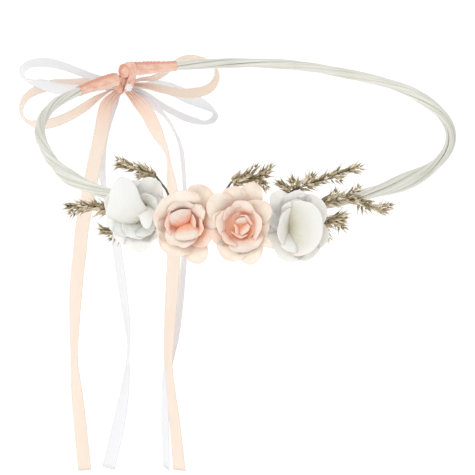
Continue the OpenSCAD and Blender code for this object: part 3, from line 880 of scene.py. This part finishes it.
def make_bow_knot(material):
    """The gathered ribbon inside the band: pleats that run along the bow."""
    half = 4.4

    def place(u, v):
        s = 2 * v - 1
        if u is None:
            return (KNOT + BOW_ALONG * half * s) * MM
        t = 2 * math.pi * u
        radius = 2.0 + 0.75 * smooth_step(abs(s), 0.3, 0.75)
        radius *= math.sqrt(max(0.02, 1 - abs(s) ** 7))
        radius *= 1 + 0.10 * math.cos(7 * t + 2.5 * s) + 0.05 * math.cos(12 * t - s)
        away = BOW_OUT * math.cos(t) + UP * math.sin(t)
        rise = 4.4 * max(0.0, math.sin(t)) * (1 - smooth_step(abs(s), 0.25, 0.6))
        return (KNOT + BOW_ALONG * half * s + away * radius + (UP - BOW_OUT * 0.35) * rise) * MM

    piece = tube("bow_knot_satin", 48, 24, place)
    scale_uv(piece, 1.6, 0.9)
    # A little painted shade over the whole knot.
    mark(piece, "fold_and_painted_shade", 0.2)
    bpy.ops.object.shade_smooth()
    fit_out(piece, material, "bow_knot")


def make_white_knot(material):
    """A small overhand knot of white ribbon: a ball crossed by two pleated turns."""
    middle = (KNOT + Vector((2.2, -5.9, 1.4))) * MM
    deselect()
    bpy.ops.mesh.primitive_uv_sphere_add(segments=32, ring_count=20, radius=1.45 * MM, location=middle)
    piece = bpy.context.object
    bpy.ops.object.transform_apply(location=True, rotation=True, scale=True)
    for vertex in piece.data.vertices:
        away = (vertex.co - middle).normalized()
        turn = math.atan2(away.z, away.x)
        pleat = 0.10 * math.cos(6 * turn + 3 * away.y) + 0.12 * math.cos(9 * away.x - 5 * away.z)
        vertex.co = middle + Vector((away.x * 1.15, away.y * 0.8, away.z * 1.2)) * (
            1.45 * MM * (1 + pleat))
    piece.name = "white_knot_satin"
    bpy.ops.object.shade_smooth()
    fit_out(piece, material, "white_knot")


# ---- roses ----

# Each rose's calyx base and the way it faces, in mm.
ROSES = {
    "white_left": (Vector((-40.3, -79.3, -3.4)), Vector((-0.1, -0.92, 0.37))),
    "peach_left": (Vector((-22.9, -86.3, -5.4)), Vector((0, -0.92, 0.39))),
    "peach_right": (Vector((-1.5, -88.3, -5.3)), Vector((0, -0.92, 0.39))),
    "white_right": (Vector((20.6, -85.3, -6.6)), Vector((0, -0.93, 0.36))),
}
# Petals, each: way it points round the rose (degrees), where it starts (mm from the middle,
# mm above the base), length, width, lean at its foot and at its tip, cup (below 0 a dome),
# curl, wave, warmth (towards the base colours, partly painted shade), depth (painted shade
# deep in the rose), and where needed a shift to its side (mm) and a taper, which is 0
# where only the shift is given.
PETALS = {
    "white_left": {
        "outer_petals": [
            (62, 1.0, 4.0, 17.5, 12, 36, 64, 12, 12, 0.5, 0.0, 0.0),
            (24, 1.0, 4.6, 13.5, 11.5, 32, 62, 18, 16, 0.5, 0.05, 0.0),
            (203, 1.0, 4.6, 15.5, 13, 28, 72, 12, 12, 0.5, 0.0, 0.0),
            (240, 1.0, 4.2, 16, 12.5, 34, 70, 15, 10, 0.6, 0.0, 0.0),
            (272, 1.0, 4.2, 18, 13, 32, 72, 15, 10, 0.6, 0.0, 0.0),
            (304, 1.0, 4.4, 14.5, 12, 32, 68, 18, 12, 0.6, 0.0, 0.0),
            (338, 1.0, 4.6, 12.5, 11, 30, 62, 20, 12, 0.5, 0.05, 0.0),
            (165, 1.0, 3.6, 16, 12, 36, 70, 10, 10, 0.4, 0.0, 0.0),
            (100, 1.0, 3.6, 15, 12, 36, 66, 10, 10, 0.4, 0.0, 0.0),
        ],
        "inner_petals": [
            (98, -4.9, 6.5, 27.5, 18.0, 0, 103, -38, 6, 0.25, -0.05, 0.0, 4.6, 0.36),
            (42, 3.6, 6.0, 11.5, 10, 8, 40, 30, 10, 0.3, 0.15, 0.0),
            (5, 5.0, 5.5, 10.5, 10, 8, 34, 40, 8, 0.3, 0.1, 0.0),
            (300, 3.4, 6.0, 11.5, 11, 12, 46, 35, 16, 0.4, 0.1, 0.0),
            (262, 2.2, 5.6, 12.5, 12, 18, 58, 30, 14, 0.5, 0.05, 0.0),
            (225, 2.0, 5.2, 13, 11.5, 24, 66, 25, 12, 0.4, 0.05, 0.0),
        ],
        "heart": [
            (276, -2.6, 8.8, 15.5, 8.0, 2, 68, -50, 6, 0.15, -0.05, 0.0, 3.0, 0.4),
            (30, 0.5, 6.5, 7.0, 6, 4, 36, -35, 10, 0.2, 0.3, 0.1),
            (330, 2.8, 6.0, 8.0, 6, 6, 26, 45, 6, 0.2, 0.4, 0.1),
        ],
    },
    "peach_left": {
        "outer_petals": [
            (60, 1.5, 3.5, 19, 13.5, 40, 60, 20, 24, 0.7, -0.1, 0.0, -1.0),
            (106, 2.2, 4.8, 17, 19, 20, 46, 40, 66, 0.6, -0.02, 0.0, 0.6),
            (160, 2.0, 4.2, 15, 13, 28, 56, 30, 30, 0.5, 0.1, 0.0),
            (205, 1.5, 3.6, 14, 11, 30, 56, 30, 15, 0.5, 0.05, 0.0),
            (244, 1.5, 4.0, 15.5, 15, 32, 62, 25, 25, 0.7, -0.15, 0.0),
            (292, 1.5, 3.5, 18, 10.5, 40, 68, 20, 20, 0.6, -0.15, 0.0),
            (328, 1.5, 4.5, 15, 11, 28, 56, 25, 15, 0.5, 0.7, 0.1),
            (0, 4.2, 7.6, 13.5, 10.5, 26, 60, -35, 12, 0.4, 0.2, 0.0, 1.6, 0.35),
        ],
        "inner_petals": [
            (252, 2.2, 6.0, 13, 13.5, 8, 50, 42, 74, 0.6, 0.25, 0.0),
            (180, 4.4, 5.6, 11.5, 12, 6, 18, 42, 20, 0.4, 0.85, 0.1),
            (350, 4.2, 6.0, 11, 11, 6, 18, 42, 25, 0.4, 0.8, 0.05),
            (96, 4.2, 6.0, 12, 14, 6, 26, 46, 60, 0.4, 0.6, 0.0),
            (40, 4.0, 6.4, 12.5, 8, 4, 38, 30, 60, 0.3, 0.0, 0.0),
        ],
        "heart": [
            (116, -1.0, 9.8, 10.5, 10.8, 2, 88, -62, 8, 0.25, 0.4, 0.0, 0.5),
            (280, -0.4, 10.4, 10.5, 11.6, 2, 84, -58, 8, 0.3, 0.35, 0.0, 0.4),
            (4, 1.6, 9.4, 6.5, 7.5, 4, 40, -30, 10, 0.3, 0.6, 0.1),
            (90, -6.0, 11.2, 12.0, 12.0, 88, 88, 14, 0, 0.9, 0.9, 0.2),
        ],
    },
    "peach_right": {
        "outer_petals": [
            (72, 1.5, 3.5, 19.5, 10.5, 40, 66, 20, 15, 0.6, 0.0, 0.0),
            (108, 1.5, 3.8, 18, 12.5, 36, 62, 20, 20, 0.6, 0.0, 0.0),
            (138, 1.5, 4.2, 19, 12.5, 34, 62, 25, 30, 0.6, -0.1, 0.0),
            (165, 1.5, 4.4, 15, 9, 28, 50, 50, 10, 0.4, 0.35, 0.0),
            (41, 1.5, 3.8, 16.5, 11.5, 32, 56, 25, 20, 0.6, -0.15, 0.0),
            (2, 1.5, 3.8, 13, 11, 32, 56, 25, 20, 0.6, -0.1, 0.0),
            (326, 1.5, 4.0, 17.5, 8, 32, 62, 35, 15, 0.4, 0.15, 0.0, 0.0, 0.5),
            (250, 1.5, 3.8, 16.5, 13.5, 34, 64, 25, 25, 0.7, -0.1, 0.0),
            (291, 1.5, 3.6, 17.5, 11, 36, 66, 20, 20, 0.6, -0.15, 0.0),
            (208, 1.5, 3.6, 14.5, 11, 32, 60, 25, 20, 0.5, 0.4, 0.1),
        ],
        "inner_petals": [
            (280, 3.0, 5.5, 13, 14, 8, 52, 40, 85, 0.6, 0.45, 0.0, 0.8),
            (170, 4.6, 5.5, 12.5, 12, 6, 30, 40, 50, 0.4, 0.45, 0.0),
            (2, 4.4, 5.5, 12, 13, 4, 22, 45, 30, 0.4, 0.45, 0.0),
            (84, 3.8, 6.0, 13, 10.5, 6, 36, 36, 92, 0.4, 0.4, 0.0),
            (122, 4.4, 6.0, 11.5, 11, 8, 24, 45, 30, 0.4, 0.65, 0.0),
            (226, 4.6, 5.5, 11.5, 11, 8, 26, 42, 24, 0.4, 0.75, 0.05),
        ],
        "heart": [
            (104, -0.6, 9.4, 5.6, 5.4, 10, 74, -45, 10, 0.5, 0.4, 0.0, -0.8),
            (196, 0.6, 9.0, 5.2, 4.6, 4, 40, -30, 10, 0.5, 0.6, 0.05, 0.8),
            (318, -0.2, 9.2, 6.0, 5.6, 4, 70, -45, 10, 0.5, 0.5, 0.0, -0.4),
            (48, 2.4, 8.6, 6.0, 6.5, 8, 26, 40, 10, 0.5, 0.7, 0.1),
            (256, 2.6, 8.6, 5.6, 7.0, 8, 30, 40, 10, 0.5, 0.8, 0.15),
            (90, -6.2, 11.0, 12.4, 12.6, 88, 88, 16, 0, 1.1, 0.8, 0.15),
        ],
    },
    "white_right": {
        "outer_petals": [
            (60, 1.0, 3.8, 17, 15, 36, 62, 15, 12, 0.5, 0.0, 0.0),
            (98, 1.0, 4.0, 17, 14, 36, 64, 15, 12, 0.5, 0.0, 0.0),
            (124, 1.0, 3.6, 19.5, 9.5, 40, 66, 12, 10, 0.5, 0.1, 0.0),
            (150, 1.0, 3.8, 16, 11, 40, 66, 12, 10, 0.5, 0.0, 0.0),
            (172, 1.0, 3.5, 15, 11, 42, 70, 12, 10, 0.5, 0.0, 0.0),
            (205, 1.0, 3.5, 16, 11.5, 42, 70, 12, 10, 0.5, 0.0, 0.0),
            (246, 1.0, 4.0, 16.5, 14, 34, 66, 15, 12, 0.6, 0.0, 0.0),
            (292, 1.0, 4.0, 15.5, 13, 34, 64, 15, 12, 0.5, 0.0, 0.0),
            (330, 1.0, 3.8, 14.5, 12, 34, 64, 15, 12, 0.5, 0.0, 0.0),
        ],
        "inner_petals": [
            (4, -5.0, 6.5, 19.5, 23, 34, 66, 48, 4, 0.35, 0.55, 0.12),
            (170, 4.2, 5.5, 12.5, 16, 4, 26, 42, 6, 0.35, 0.0, 0.0),
            (262, 2.4, 5.5, 12.5, 13, 16, 52, 35, 12, 0.5, 0.05, 0.0),
            (96, 3.6, 5.5, 12.5, 13, 18, 50, 35, 15, 0.4, 0.0, 0.0),
        ],
        "heart": [
            (150, -0.2, 5.6, 4.6, 5.2, 6, 40, -40, 8, 0.2, 0.3, 0.0),
            (250, 0.3, 5.4, 4.2, 4.8, 8, 36, -40, 8, 0.2, 0.35, 0.0),
        ],
    },
}
# Extra turn of each rose from the way its calyx faces, to the right and upward, and its shift
# to the right and upward, in mm.
ROSE_HEAD = {
    "white_left": (6, 0, 0.0, 0.0),
    "peach_left": (0, 0, 0.0, 0.0),
    "peach_right": (0, 0, 0.0, 0.0),
    "white_right": (-6, -2, 0.8, 0.0),
}
PETAL_ACROSS = 12
PETAL_ALONG = 12
PETAL_TAPER = 0.10  # of a petal that states neither its shift nor its taper
SPINE_STEPS = 24
NECK = 4.0  # mm from a calyx's base to the point that its rose turns about


def make_petal(name, spec, origin, right, above, out, settings, rng):
    turn, start, rise, long, wide, lean0, lean1, cup, curl, wave, warmth_and_shade, depth, *shape = spec
    aside = shape[0] if shape else 0.0
    taper = shape[1] if len(shape) > 1 else 0.0 if shape else PETAL_TAPER
    turn = math.radians(turn)
    point = right * math.cos(turn) + above * math.sin(turn)
    across = above * math.cos(turn) - right * math.sin(turn)
    phase = rng.uniform(0, 6.28)
    skew = rng.uniform(-0.12, 0.12)
    spine = [(0.0, 0.0, math.radians(lean0))]
    for k in range(1, SPINE_STEPS + 1):
        t = k / SPINE_STEPS
        lean = math.radians(lean0 + (lean1 - lean0) * t + curl * smooth_step(t, 0.72, 1.0))
        step = long / SPINE_STEPS
        spine.append((spine[-1][0] + math.sin(lean) * step, spine[-1][1] + math.cos(lean) * step, lean))
    cup = math.radians(cup)

    def place(u, v):
        s = 2 * u - 1
        t = v * (1 - 0.22 * abs(s) ** 2.4) + skew * s * v * v * 0.6
        t = min(1.0, max(0.0, t))
        x = t * SPINE_STEPS
        k = min(int(x), SPINE_STEPS - 1)
        f = x - k
        radial, axial, lean = (a + (b - a) * f for a, b in zip(spine[k], spine[k + 1]))
        inward = out * math.sin(lean) - point * math.cos(lean)
        half = wide / 2 * (0.26 + 0.74 * math.sin(math.pi / 2 * min(1, v / 0.62)))
        half *= 1 - taper * smooth_step(v, 0.4 if taper > 0.2 else 0.7, 1.0)
        bend = cup * (1 - 0.35 * v)
        if abs(bend) > 0.01:
            shift = across * (half / bend * math.sin(s * bend))
            shift += inward * (half / bend * (1 - math.cos(s * bend)))
        else:
            shift = across * (half * s)
        edge = smooth_step(max(abs(s), v), 0.55, 1.0)
        ripple = wave * edge * (math.sin(3.1 * s * 1.7 + phase) + 0.5 * math.sin(7.3 * s + 2 * phase))
        roll = -0.9 * max(0.0, abs(s) - 0.7) ** 2 * wide * 0.25 * v
        spot = point * (start + radial) + out * (rise + axial) + shift + across * aside
        spot += inward * (ripple * 0.8 + roll)
        return (origin + spot) * MM

    piece = grid(name, PETAL_ACROSS, PETAL_ALONG, place)
    # The petal's shift towards its base colours, partly painted shade, and its share of painted shade
    # deep in the rose.
    mark(piece, "warmth_and_shade", warmth_and_shade)
    mark(piece, "depth", depth)
    thicken(piece, settings.petal, levels=1)
    return piece


def make_rose(rose, settings, material):
    origin, face = ROSES[rose]
    out = face.normalized()
    yaw, pitch, aside, lift = ROSE_HEAD[rose]
    yaw, pitch = math.radians(yaw), math.radians(pitch)
    right = UP.cross(out).normalized()
    above = out.cross(right)
    foot = origin + out * NECK + right * aside + above * lift
    turned = Matrix.Rotation(yaw, 3, above) @ Matrix.Rotation(-pitch, 3, right)
    right, above, out = turned @ right, turned @ above, turned @ out
    base = foot - out * NECK
    rng = random.Random(sum(map(ord, rose)))
    for part, specs in PETALS[rose].items():
        petals = [
            make_petal(f"petal_{i}", spec, base, right, above, out, settings, rng)
            for i, spec in enumerate(specs)
        ]
        piece = join(petals, f"rose_{rose}_{part}_cloth")
        fit_out(piece, material, f"rose_{rose}_{part}")


# ---- floral tape ----


def make_tape(number, angle, material):
    half = math.degrees(4.0 / RING_RADIUS)

    def place(u, v):
        here = angle + half * (2 * v - 1)
        out, up, _ = ring_axes(here)
        if u is None:
            return ring_point(here)
        t = 2 * math.pi * u
        away = out * math.cos(t) + up * math.sin(t)
        winding = (v * 3.4 + u) % 1.0
        radius = 2.95 + 0.34 * winding + 0.06 * math.sin(5 * t + 20 * v)
        return ring_point(here) + away * radius * MM

    piece = tube(f"floral_tape_{number}_crepe", 36, 40, place)
    scale_uv(piece, 2.0, 0.8)
    bpy.ops.object.shade_smooth()
    fit_out(piece, material, f"floral_tape_{number}")


# ---- dried grass ----

STEMS = [
    [[-29, -83, 4.5], [-30.5, -82, 7.5], [-34, -81, 12], [-40, -80, 14.8], [-46, -79, 16.4],
     [-49, -78.5, 15.8]],
    [[-44.5, -78.2, -1], [-50, -78.5, -2], [-55, -79, -2], [-61, -79, -0.8], [-69, -79, -1]],
    [[-42, -79.5, -6], [-45, -80, -9.5], [-49, -80.5, -11.2], [-56, -81, -10]],
    [[-8, -85.8, 4.2], [-7.4, -85.5, 8.2], [-5.3, -85.5, 11.6], [-0.5, -85, 12.8],
     [4.2, -84.5, 13], [7.5, -84.5, 15.5]],
    [[15.5, -83, 4], [18, -81, 6.2], [23.6, -80, 8.4], [29, -80, 10.2], [36.6, -79.5, 13.2],
     [42, -79.5, 15]],
    [[25.5, -86, 0.5], [29, -86, 3.2], [35, -85, 4.2], [41.5, -83, 3.8], [48.5, -80.5, 0],
     [54.5, -78, -3.6]],
    [[25, -85.5, -3.8], [29.5, -85, -4.8], [34.5, -84.5, -4.4], [38, -84, -4.6]],
]
HUSKS_FROM = [2, 1, 1, 2, 1, 1, 1]
HUSK_TUFTS = [15, 15, 9, 14, 18, 20, 9]   # tufts of husks along each sprig
# Side spikes of each sprig: where each leaves the head, where it ends, and its tufts.
SIDE_SPIKES = [
    [([-45, -79.2, 16], [-49.5, -78.5, 18.6], 3), ([-38, -80.5, 14], [-41.5, -80, 11.4], 3)],
    [([-62, -79, -1], [-68, -79, -4.2], 5), ([-54, -79, -2], [-58.5, -79.4, 0.6], 3)],
    [([-48, -80.5, -11], [-53, -80.8, -14], 3)],
    [([0.5, -85, 12.8], [4.4, -84.8, 18], 5), ([6.6, -84.5, 14], [10.2, -84.4, 18], 4),
     ([4.6, -84.5, 13], [8.8, -84.3, 8.8], 5), ([-5, -85.5, 11], [-1.5, -85.6, 14.8], 3)],
    [([18, -81.2, 6.4], [13.2, -81.4, 9.8], 8), ([20, -80.8, 7.4], [18, -80.8, 11.2], 5),
     ([40, -79.5, 14.4], [45, -79.5, 15.6], 4), ([24, -80, 8.6], [26.5, -80, 12.6], 4),
     ([33, -79.8, 11.8], [37.5, -79.8, 10.4], 3)],
    [([37.5, -84.2, 4], [44.2, -83.6, 9.2], 6), ([51.5, -79.2, -2], [57, -78, -1.2], 4),
     ([33, -85.2, 4], [35.5, -85, 8], 3), ([44, -82.4, 2.4], [46.5, -82, -1.8], 3)],
    [([34.5, -84.5, -4.4], [39.2, -84, -2.4], 4), ([35, -84.5, -4.6], [38.4, -84, -8.4], 4),
     ([29.5, -85, -4.8], [32.8, -85, -12.6], 6)],
]
SIDE_TAPER = 0.8  # how much smaller a side spike's husks are
GOLDEN = math.radians(137.5)


def make_husk_shape():
    """One keeled husk with its awn, a few dozen faces, standing on the origin along +Z."""
    deselect()
    bpy.ops.mesh.primitive_cylinder_add(vertices=6, radius=1, depth=1, location=(0, 0, 0.5),
                                        end_fill_type="TRIFAN")
    piece = bpy.context.object
    bpy.ops.object.transform_apply(location=True, rotation=True, scale=True)
    shape = bmesh.new()
    shape.from_mesh(piece.data)
    sides = [e for e in shape.edges if abs(e.verts[0].co.z - e.verts[1].co.z) > 0.9]
    bmesh.ops.subdivide_edges(shape, edges=sides, cuts=4, use_grid_fill=True)
    profile = [(0.0, 0.12), (0.2, 0.85), (0.4, 1.0), (0.6, 0.72), (0.8, 0.30), (1.0, 0.05)]
    for vertex in shape.verts:
        height = vertex.co.z
        radius = 0
        for (z0, r0), (z1, r1) in zip(profile, profile[1:]):
            if z0 <= height <= z1 + 1e-6:
                radius = r0 + (r1 - r0) * (height - z0) / (z1 - z0)
        keel = 1.25 if vertex.co.y > 0.5 else 1.0
        vertex.co.x *= radius * 0.5
        vertex.co.y = vertex.co.y * radius * 0.36 * keel - 0.25 * (height - 0.4) ** 2
        vertex.co.z = height if height < 0.79 else 0.8 + (height - 0.8) * 3.0
    uv = shape.loops.layers.uv.active or shape.loops.layers.uv.new("UVMap")
    for f in shape.faces:
        for loop in f.loops:
            co = loop.vert.co
            loop[uv].uv = (math.atan2(co.y, co.x) / 6.28 + 0.5, co.z / 1.4)
    shape.to_mesh(piece.data)
    shape.free()
    return piece


def husk_matrix(foot, ahead, roll, length, width):
    z = ahead.normalized()
    x = z.orthogonal().normalized()
    turn = Matrix.Rotation(roll, 3, z)
    x = turn @ x
    y = z.cross(x)
    basis = Matrix((x * width, y * width, z * length)).transposed().to_4x4()
    basis.translation = foot
    return basis


def add_tufts(sheaf, ages, path, tufts, size, pattern, rng):
    """Tufts of four husks each, spread along a path and leaning out from it."""
    run = lengths(path)
    for h in range(tufts):
        share = (h + 0.3) / tufts
        way = share * run[-1]
        k = next(i for i in range(1, len(run)) if run[i] >= way - 1e-9)
        f = (way - run[k - 1]) / max(1e-9, run[k] - run[k - 1])
        here = path[k - 1].lerp(path[k], f)
        ahead = (path[k] - path[k - 1]).normalized()
        side = ahead.cross(Vector((0.1, 0.2, 1))).normalized()
        other = ahead.cross(side)
        taper = 1 - 0.35 * share
        for j in range(4):
            roll = GOLDEN * h + j * 1.57 + rng.uniform(-0.5, 0.5)
            around = side * math.cos(roll) + other * math.sin(roll)
            lean = math.radians(rng.uniform(12, 54) * (1 - 0.3 * share))
            aim = ahead * math.cos(lean) + around * math.sin(lean)
            length = size * rng.uniform(0.75, 1.25) * taper
            foot = here + around * rng.uniform(0.3, 1.3) * MM * taper
            basis = husk_matrix(foot, aim, rng.uniform(0, 6.28), length, length * 0.38)
            before = len(sheaf.verts)
            sheaf.from_mesh(pattern.data)
            sheaf.verts.ensure_lookup_table()
            for vertex in sheaf.verts[before:]:
                vertex.co = basis @ vertex.co
            ages += [rng.random()] * (len(sheaf.verts) - before)


def make_husks(number, pattern, settings, material):
    rng = random.Random(900 + number)
    rows = STEMS[number][HUSKS_FROM[number]:]
    sheaf = bmesh.new()
    ages = []
    path = [Vector(row) * MM for row in spline(rows, 8)]
    add_tufts(sheaf, ages, path, HUSK_TUFTS[number], settings.husk, pattern, rng)
    for start, end, tufts in SIDE_SPIKES[number]:
        path = [Vector(start) * MM, Vector(end) * MM]
        add_tufts(sheaf, ages, path, tufts, settings.husk * SIDE_TAPER, pattern, rng)
    mesh = bpy.data.meshes.new(f"grass_husks_{number + 1}_dried")
    sheaf.to_mesh(mesh)
    sheaf.free()
    piece = bpy.data.objects.new(mesh.name, mesh)
    bpy.context.scene.collection.objects.link(piece)
    layer = mesh.attributes.new("age", "FLOAT", "POINT")
    layer.data.foreach_set("value", ages)
    pick(piece)
    bpy.ops.object.shade_smooth()
    fit_out(piece, material, f"grass_husks_{number + 1}")


# ---- operators ----


EYE = (-0.00285, -1.1054, 0.4195)
EYE_TILT = 67.1  # degrees from straight down
LENS = 217.2  # mm, on a sensor 36 mm wide
FLOOR_LEVEL = -0.42
LAMP_PLACE = (-0.55, -0.75, 1.05)


class CROWN_OT_stage(bpy.types.Operator):
    """Add the camera, the pale floor and the soft light"""
    bl_idname = "crown.stage"
    bl_label = "Stage and camera"

    def execute(self, context):
        settings = context.scene.crown_stage
        eye = bpy.data.cameras.new("camera")
        eye.lens = LENS
        eye.sensor_width = 36
        eye.clip_end = 50
        camera = bpy.data.objects.new("camera", eye)
        camera.location = EYE
        camera.rotation_euler = (math.radians(EYE_TILT), 0, 0)
        context.scene.collection.objects.link(camera)
        context.scene.camera = camera
        context.scene.view_settings.view_transform = "Standard"

        deselect()
        bpy.ops.mesh.primitive_plane_add(size=14, location=(0, 0, FLOOR_LEVEL))
        floor = context.object
        floor.name = "floor"
        s = Shader("floor_paper")
        grain = s.speckle(40.0, 3.0)
        fleck = tint(settings.floor, 0.99, 0.99, 0.99)
        tone = s.mix(s.smooth_range(grain, 0.3, 0.7), settings.floor[:], fleck)
        s.set(base=tone, roughness=0.9)
        s.surface.inputs["Emission Color"].default_value = (1, 1, 1, 1)
        s.surface.inputs["Emission Strength"].default_value = 0.25
        dress(floor, s.material)

        world = bpy.data.worlds.new("even light")
        context.scene.world = world
        world.use_nodes = True
        tree = world.node_tree
        sky = tree.nodes["Background"]
        sky.inputs["Color"].default_value = (1, 1, 1, 1)
        seen = tree.nodes.new("ShaderNodeLightPath")
        strength = tree.nodes.new("ShaderNodeMapRange")
        strength.inputs["To Min"].default_value = settings.sky
        strength.inputs["To Max"].default_value = 1.0
        tree.links.new(seen.outputs["Is Camera Ray"], strength.inputs["Value"])
        tree.links.new(strength.outputs["Result"], sky.inputs["Strength"])

        key = bpy.data.lights.new("key", "AREA")
        key.energy = settings.key
        key.size = 0.9
        lamp = bpy.data.objects.new("key", key)
        lamp.location = LAMP_PLACE
        lamp.rotation_euler = (-lamp.location).to_track_quat("-Z", "Y").to_euler()
        context.scene.collection.objects.link(lamp)
        return {"FINISHED"}


class CROWN_OT_ribbons(bpy.types.Operator):
    """Add the bow's loops and tails"""
    bl_idname = "crown.ribbons"
    bl_label = "Bow loops and tails"

    def execute(self, context):
        settings = context.scene.crown_ribbon
        peach = settings.peach[:]
        white = settings.white[:]
        paints = {
            # The last colour given to each satin is its painted shade near the knot.
            "peach": satin("peach satin", peach, tint(peach, 0.98, 0.93, 0.90),
                           tint(settings.gathered, 1.05, 1.22, 1.28), 0.36),
            "white": satin("white satin", white, tint(white, 0.94, 0.94, 0.965),
                           tint(white, 0.88, 0.88, 0.92), 0.38),
        }
        for name in ROUTES:
            make_ribbon(name, settings, paints["peach" if "peach" in name else "white"])
        return {"FINISHED"}


class CROWN_OT_ring(bpy.types.Operator):
    """Add the twisted raffia strands and finish the wire core"""
    bl_idname = "crown.ring"
    bl_label = "Raffia ring"

    def execute(self, context):
        settings = context.scene.crown_raffia
        paint = raffia("paper raffia", settings.colour[:])
        for number in range(STRANDS):
            make_strand(number, settings, paint)
        dress(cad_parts["ring_wire"], wire_paint("drawn wire"))
        return {"FINISHED"}


class CROWN_OT_knot(bpy.types.Operator):
    """Add the ribbon wraps on the ring's ends, the tie band and the knots"""
    bl_idname = "crown.knot"
    bl_label = "Wraps and knot"

    def execute(self, context):
        settings = context.scene.crown_ribbon
        coral = settings.gathered[:]
        paint = gathered_satin("gathered peach satin", tint(coral, 1.06, 1.28, 1.32),
                               tint(coral, 0.86, 0.66, 0.60))
        make_wrap("end_wrap_left", RING_START - 0.4, RING_START + WRAP_SPANS[0], False, paint)
        make_wrap("end_wrap_right", RING_END - WRAP_SPANS[1], RING_END + 0.5, True, paint)
        make_tie_band(paint)
        make_bow_knot(paint)
        make_white_knot(bpy.data.materials["white satin"])
        return {"FINISHED"}


class CROWN_OT_roses(bpy.types.Operator):
    """Add the four fabric roses and finish their calyxes and tape"""
    bl_idname = "crown.roses"
    bl_label = "Roses"

    def execute(self, context):
        settings = context.scene.crown_rose
        coral, cream, blush = settings.coral[:], settings.cream[:], settings.blush[:]
        ivory = settings.ivory[:]
        # Each petal paint's third colour is painted shade deep in the rose; the white petal's beige
        # towards its base is painted shade as well.
        peach_petal = petal_paint(
            "peach petal",
            [(0.0, coral), (0.34, blend(coral, blush, 0.4)),
             (0.56, blend(blush, cream, 0.5)), (0.76, cream), (1.0, cream)],
            tint(coral, 0.98, 0.95, 0.75), blush,
            blend(cream, blush, 0.5))
        white_petal = petal_paint(
            "white petal",
            [(0.0, tint(ivory, 0.84, 0.78, 0.64)),
             (0.3, tint(ivory, 0.93, 0.90, 0.83)),
             (0.6, ivory), (1.0, [min(1, c * 1.03) for c in ivory])],
            tint(ivory, 0.70, 0.66, 0.54), (0.92, 0.84, 0.80),
            tint(ivory, 0.96, 0.95, 0.92))
        green = calyx_paint("calyx green")
        crepe = tape_paint("crepe tape")
        for number, rose in enumerate(ROSES):
            make_rose(rose, settings, white_petal if "white" in rose else peach_petal)
            dress(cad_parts[f"rose_{rose}_calyx"], green)
            origin = ROSES[rose][0]
            make_tape(number + 1, 360 + math.degrees(math.atan2(origin.y, origin.x)), crepe)
        return {"FINISHED"}


class CROWN_OT_grass(bpy.types.Operator):
    """Add the husks of the seven sprigs and finish their stems"""
    bl_idname = "crown.grass"
    bl_label = "Dried grass"

    def execute(self, context):
        settings = context.scene.crown_grass
        paint = husk_paint("dried husk", settings.straw[:], settings.olive[:])
        bark = stem_paint("dried stem")
        pattern = make_husk_shape()
        for number in range(len(STEMS)):
            make_husks(number, pattern, settings, paint)
            dress(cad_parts[f"grass_stem_{number + 1}"], bark)
        bpy.data.objects.remove(pattern)
        return {"FINISHED"}


class CROWN_PT_panel(bpy.types.Panel):
    bl_label = "Flower crown"
    bl_idname = "CROWN_PT_panel"
    bl_space_type = "VIEW_3D"
    bl_region_type = "UI"
    bl_category = "Crown"

    def draw(self, context):
        for operator in OPERATORS:
            self.layout.operator(operator.bl_idname)


OPERATORS = [CROWN_OT_stage, CROWN_OT_ribbons, CROWN_OT_ring, CROWN_OT_knot, CROWN_OT_roses,
             CROWN_OT_grass]


def register():
    for name, group in SETTINGS.items():
        bpy.utils.register_class(group)
        setattr(bpy.types.Scene, name, bpy.props.PointerProperty(type=group))
    for operator in OPERATORS:
        bpy.utils.register_class(operator)
    bpy.utils.register_class(CROWN_PT_panel)


def unregister():
    bpy.utils.unregister_class(CROWN_PT_panel)
    for operator in reversed(OPERATORS):
        bpy.utils.unregister_class(operator)
    for name, group in SETTINGS.items():
        delattr(bpy.types.Scene, name)
        bpy.utils.unregister_class(group)


def main():
    register()
    bpy.ops.crown.stage()
    bpy.ops.crown.ribbons()
    bpy.ops.crown.ring()
    bpy.ops.crown.knot()
    bpy.ops.crown.roses()
    bpy.ops.crown.grass()
    deselect()


if __name__ == "__main__":
    main()
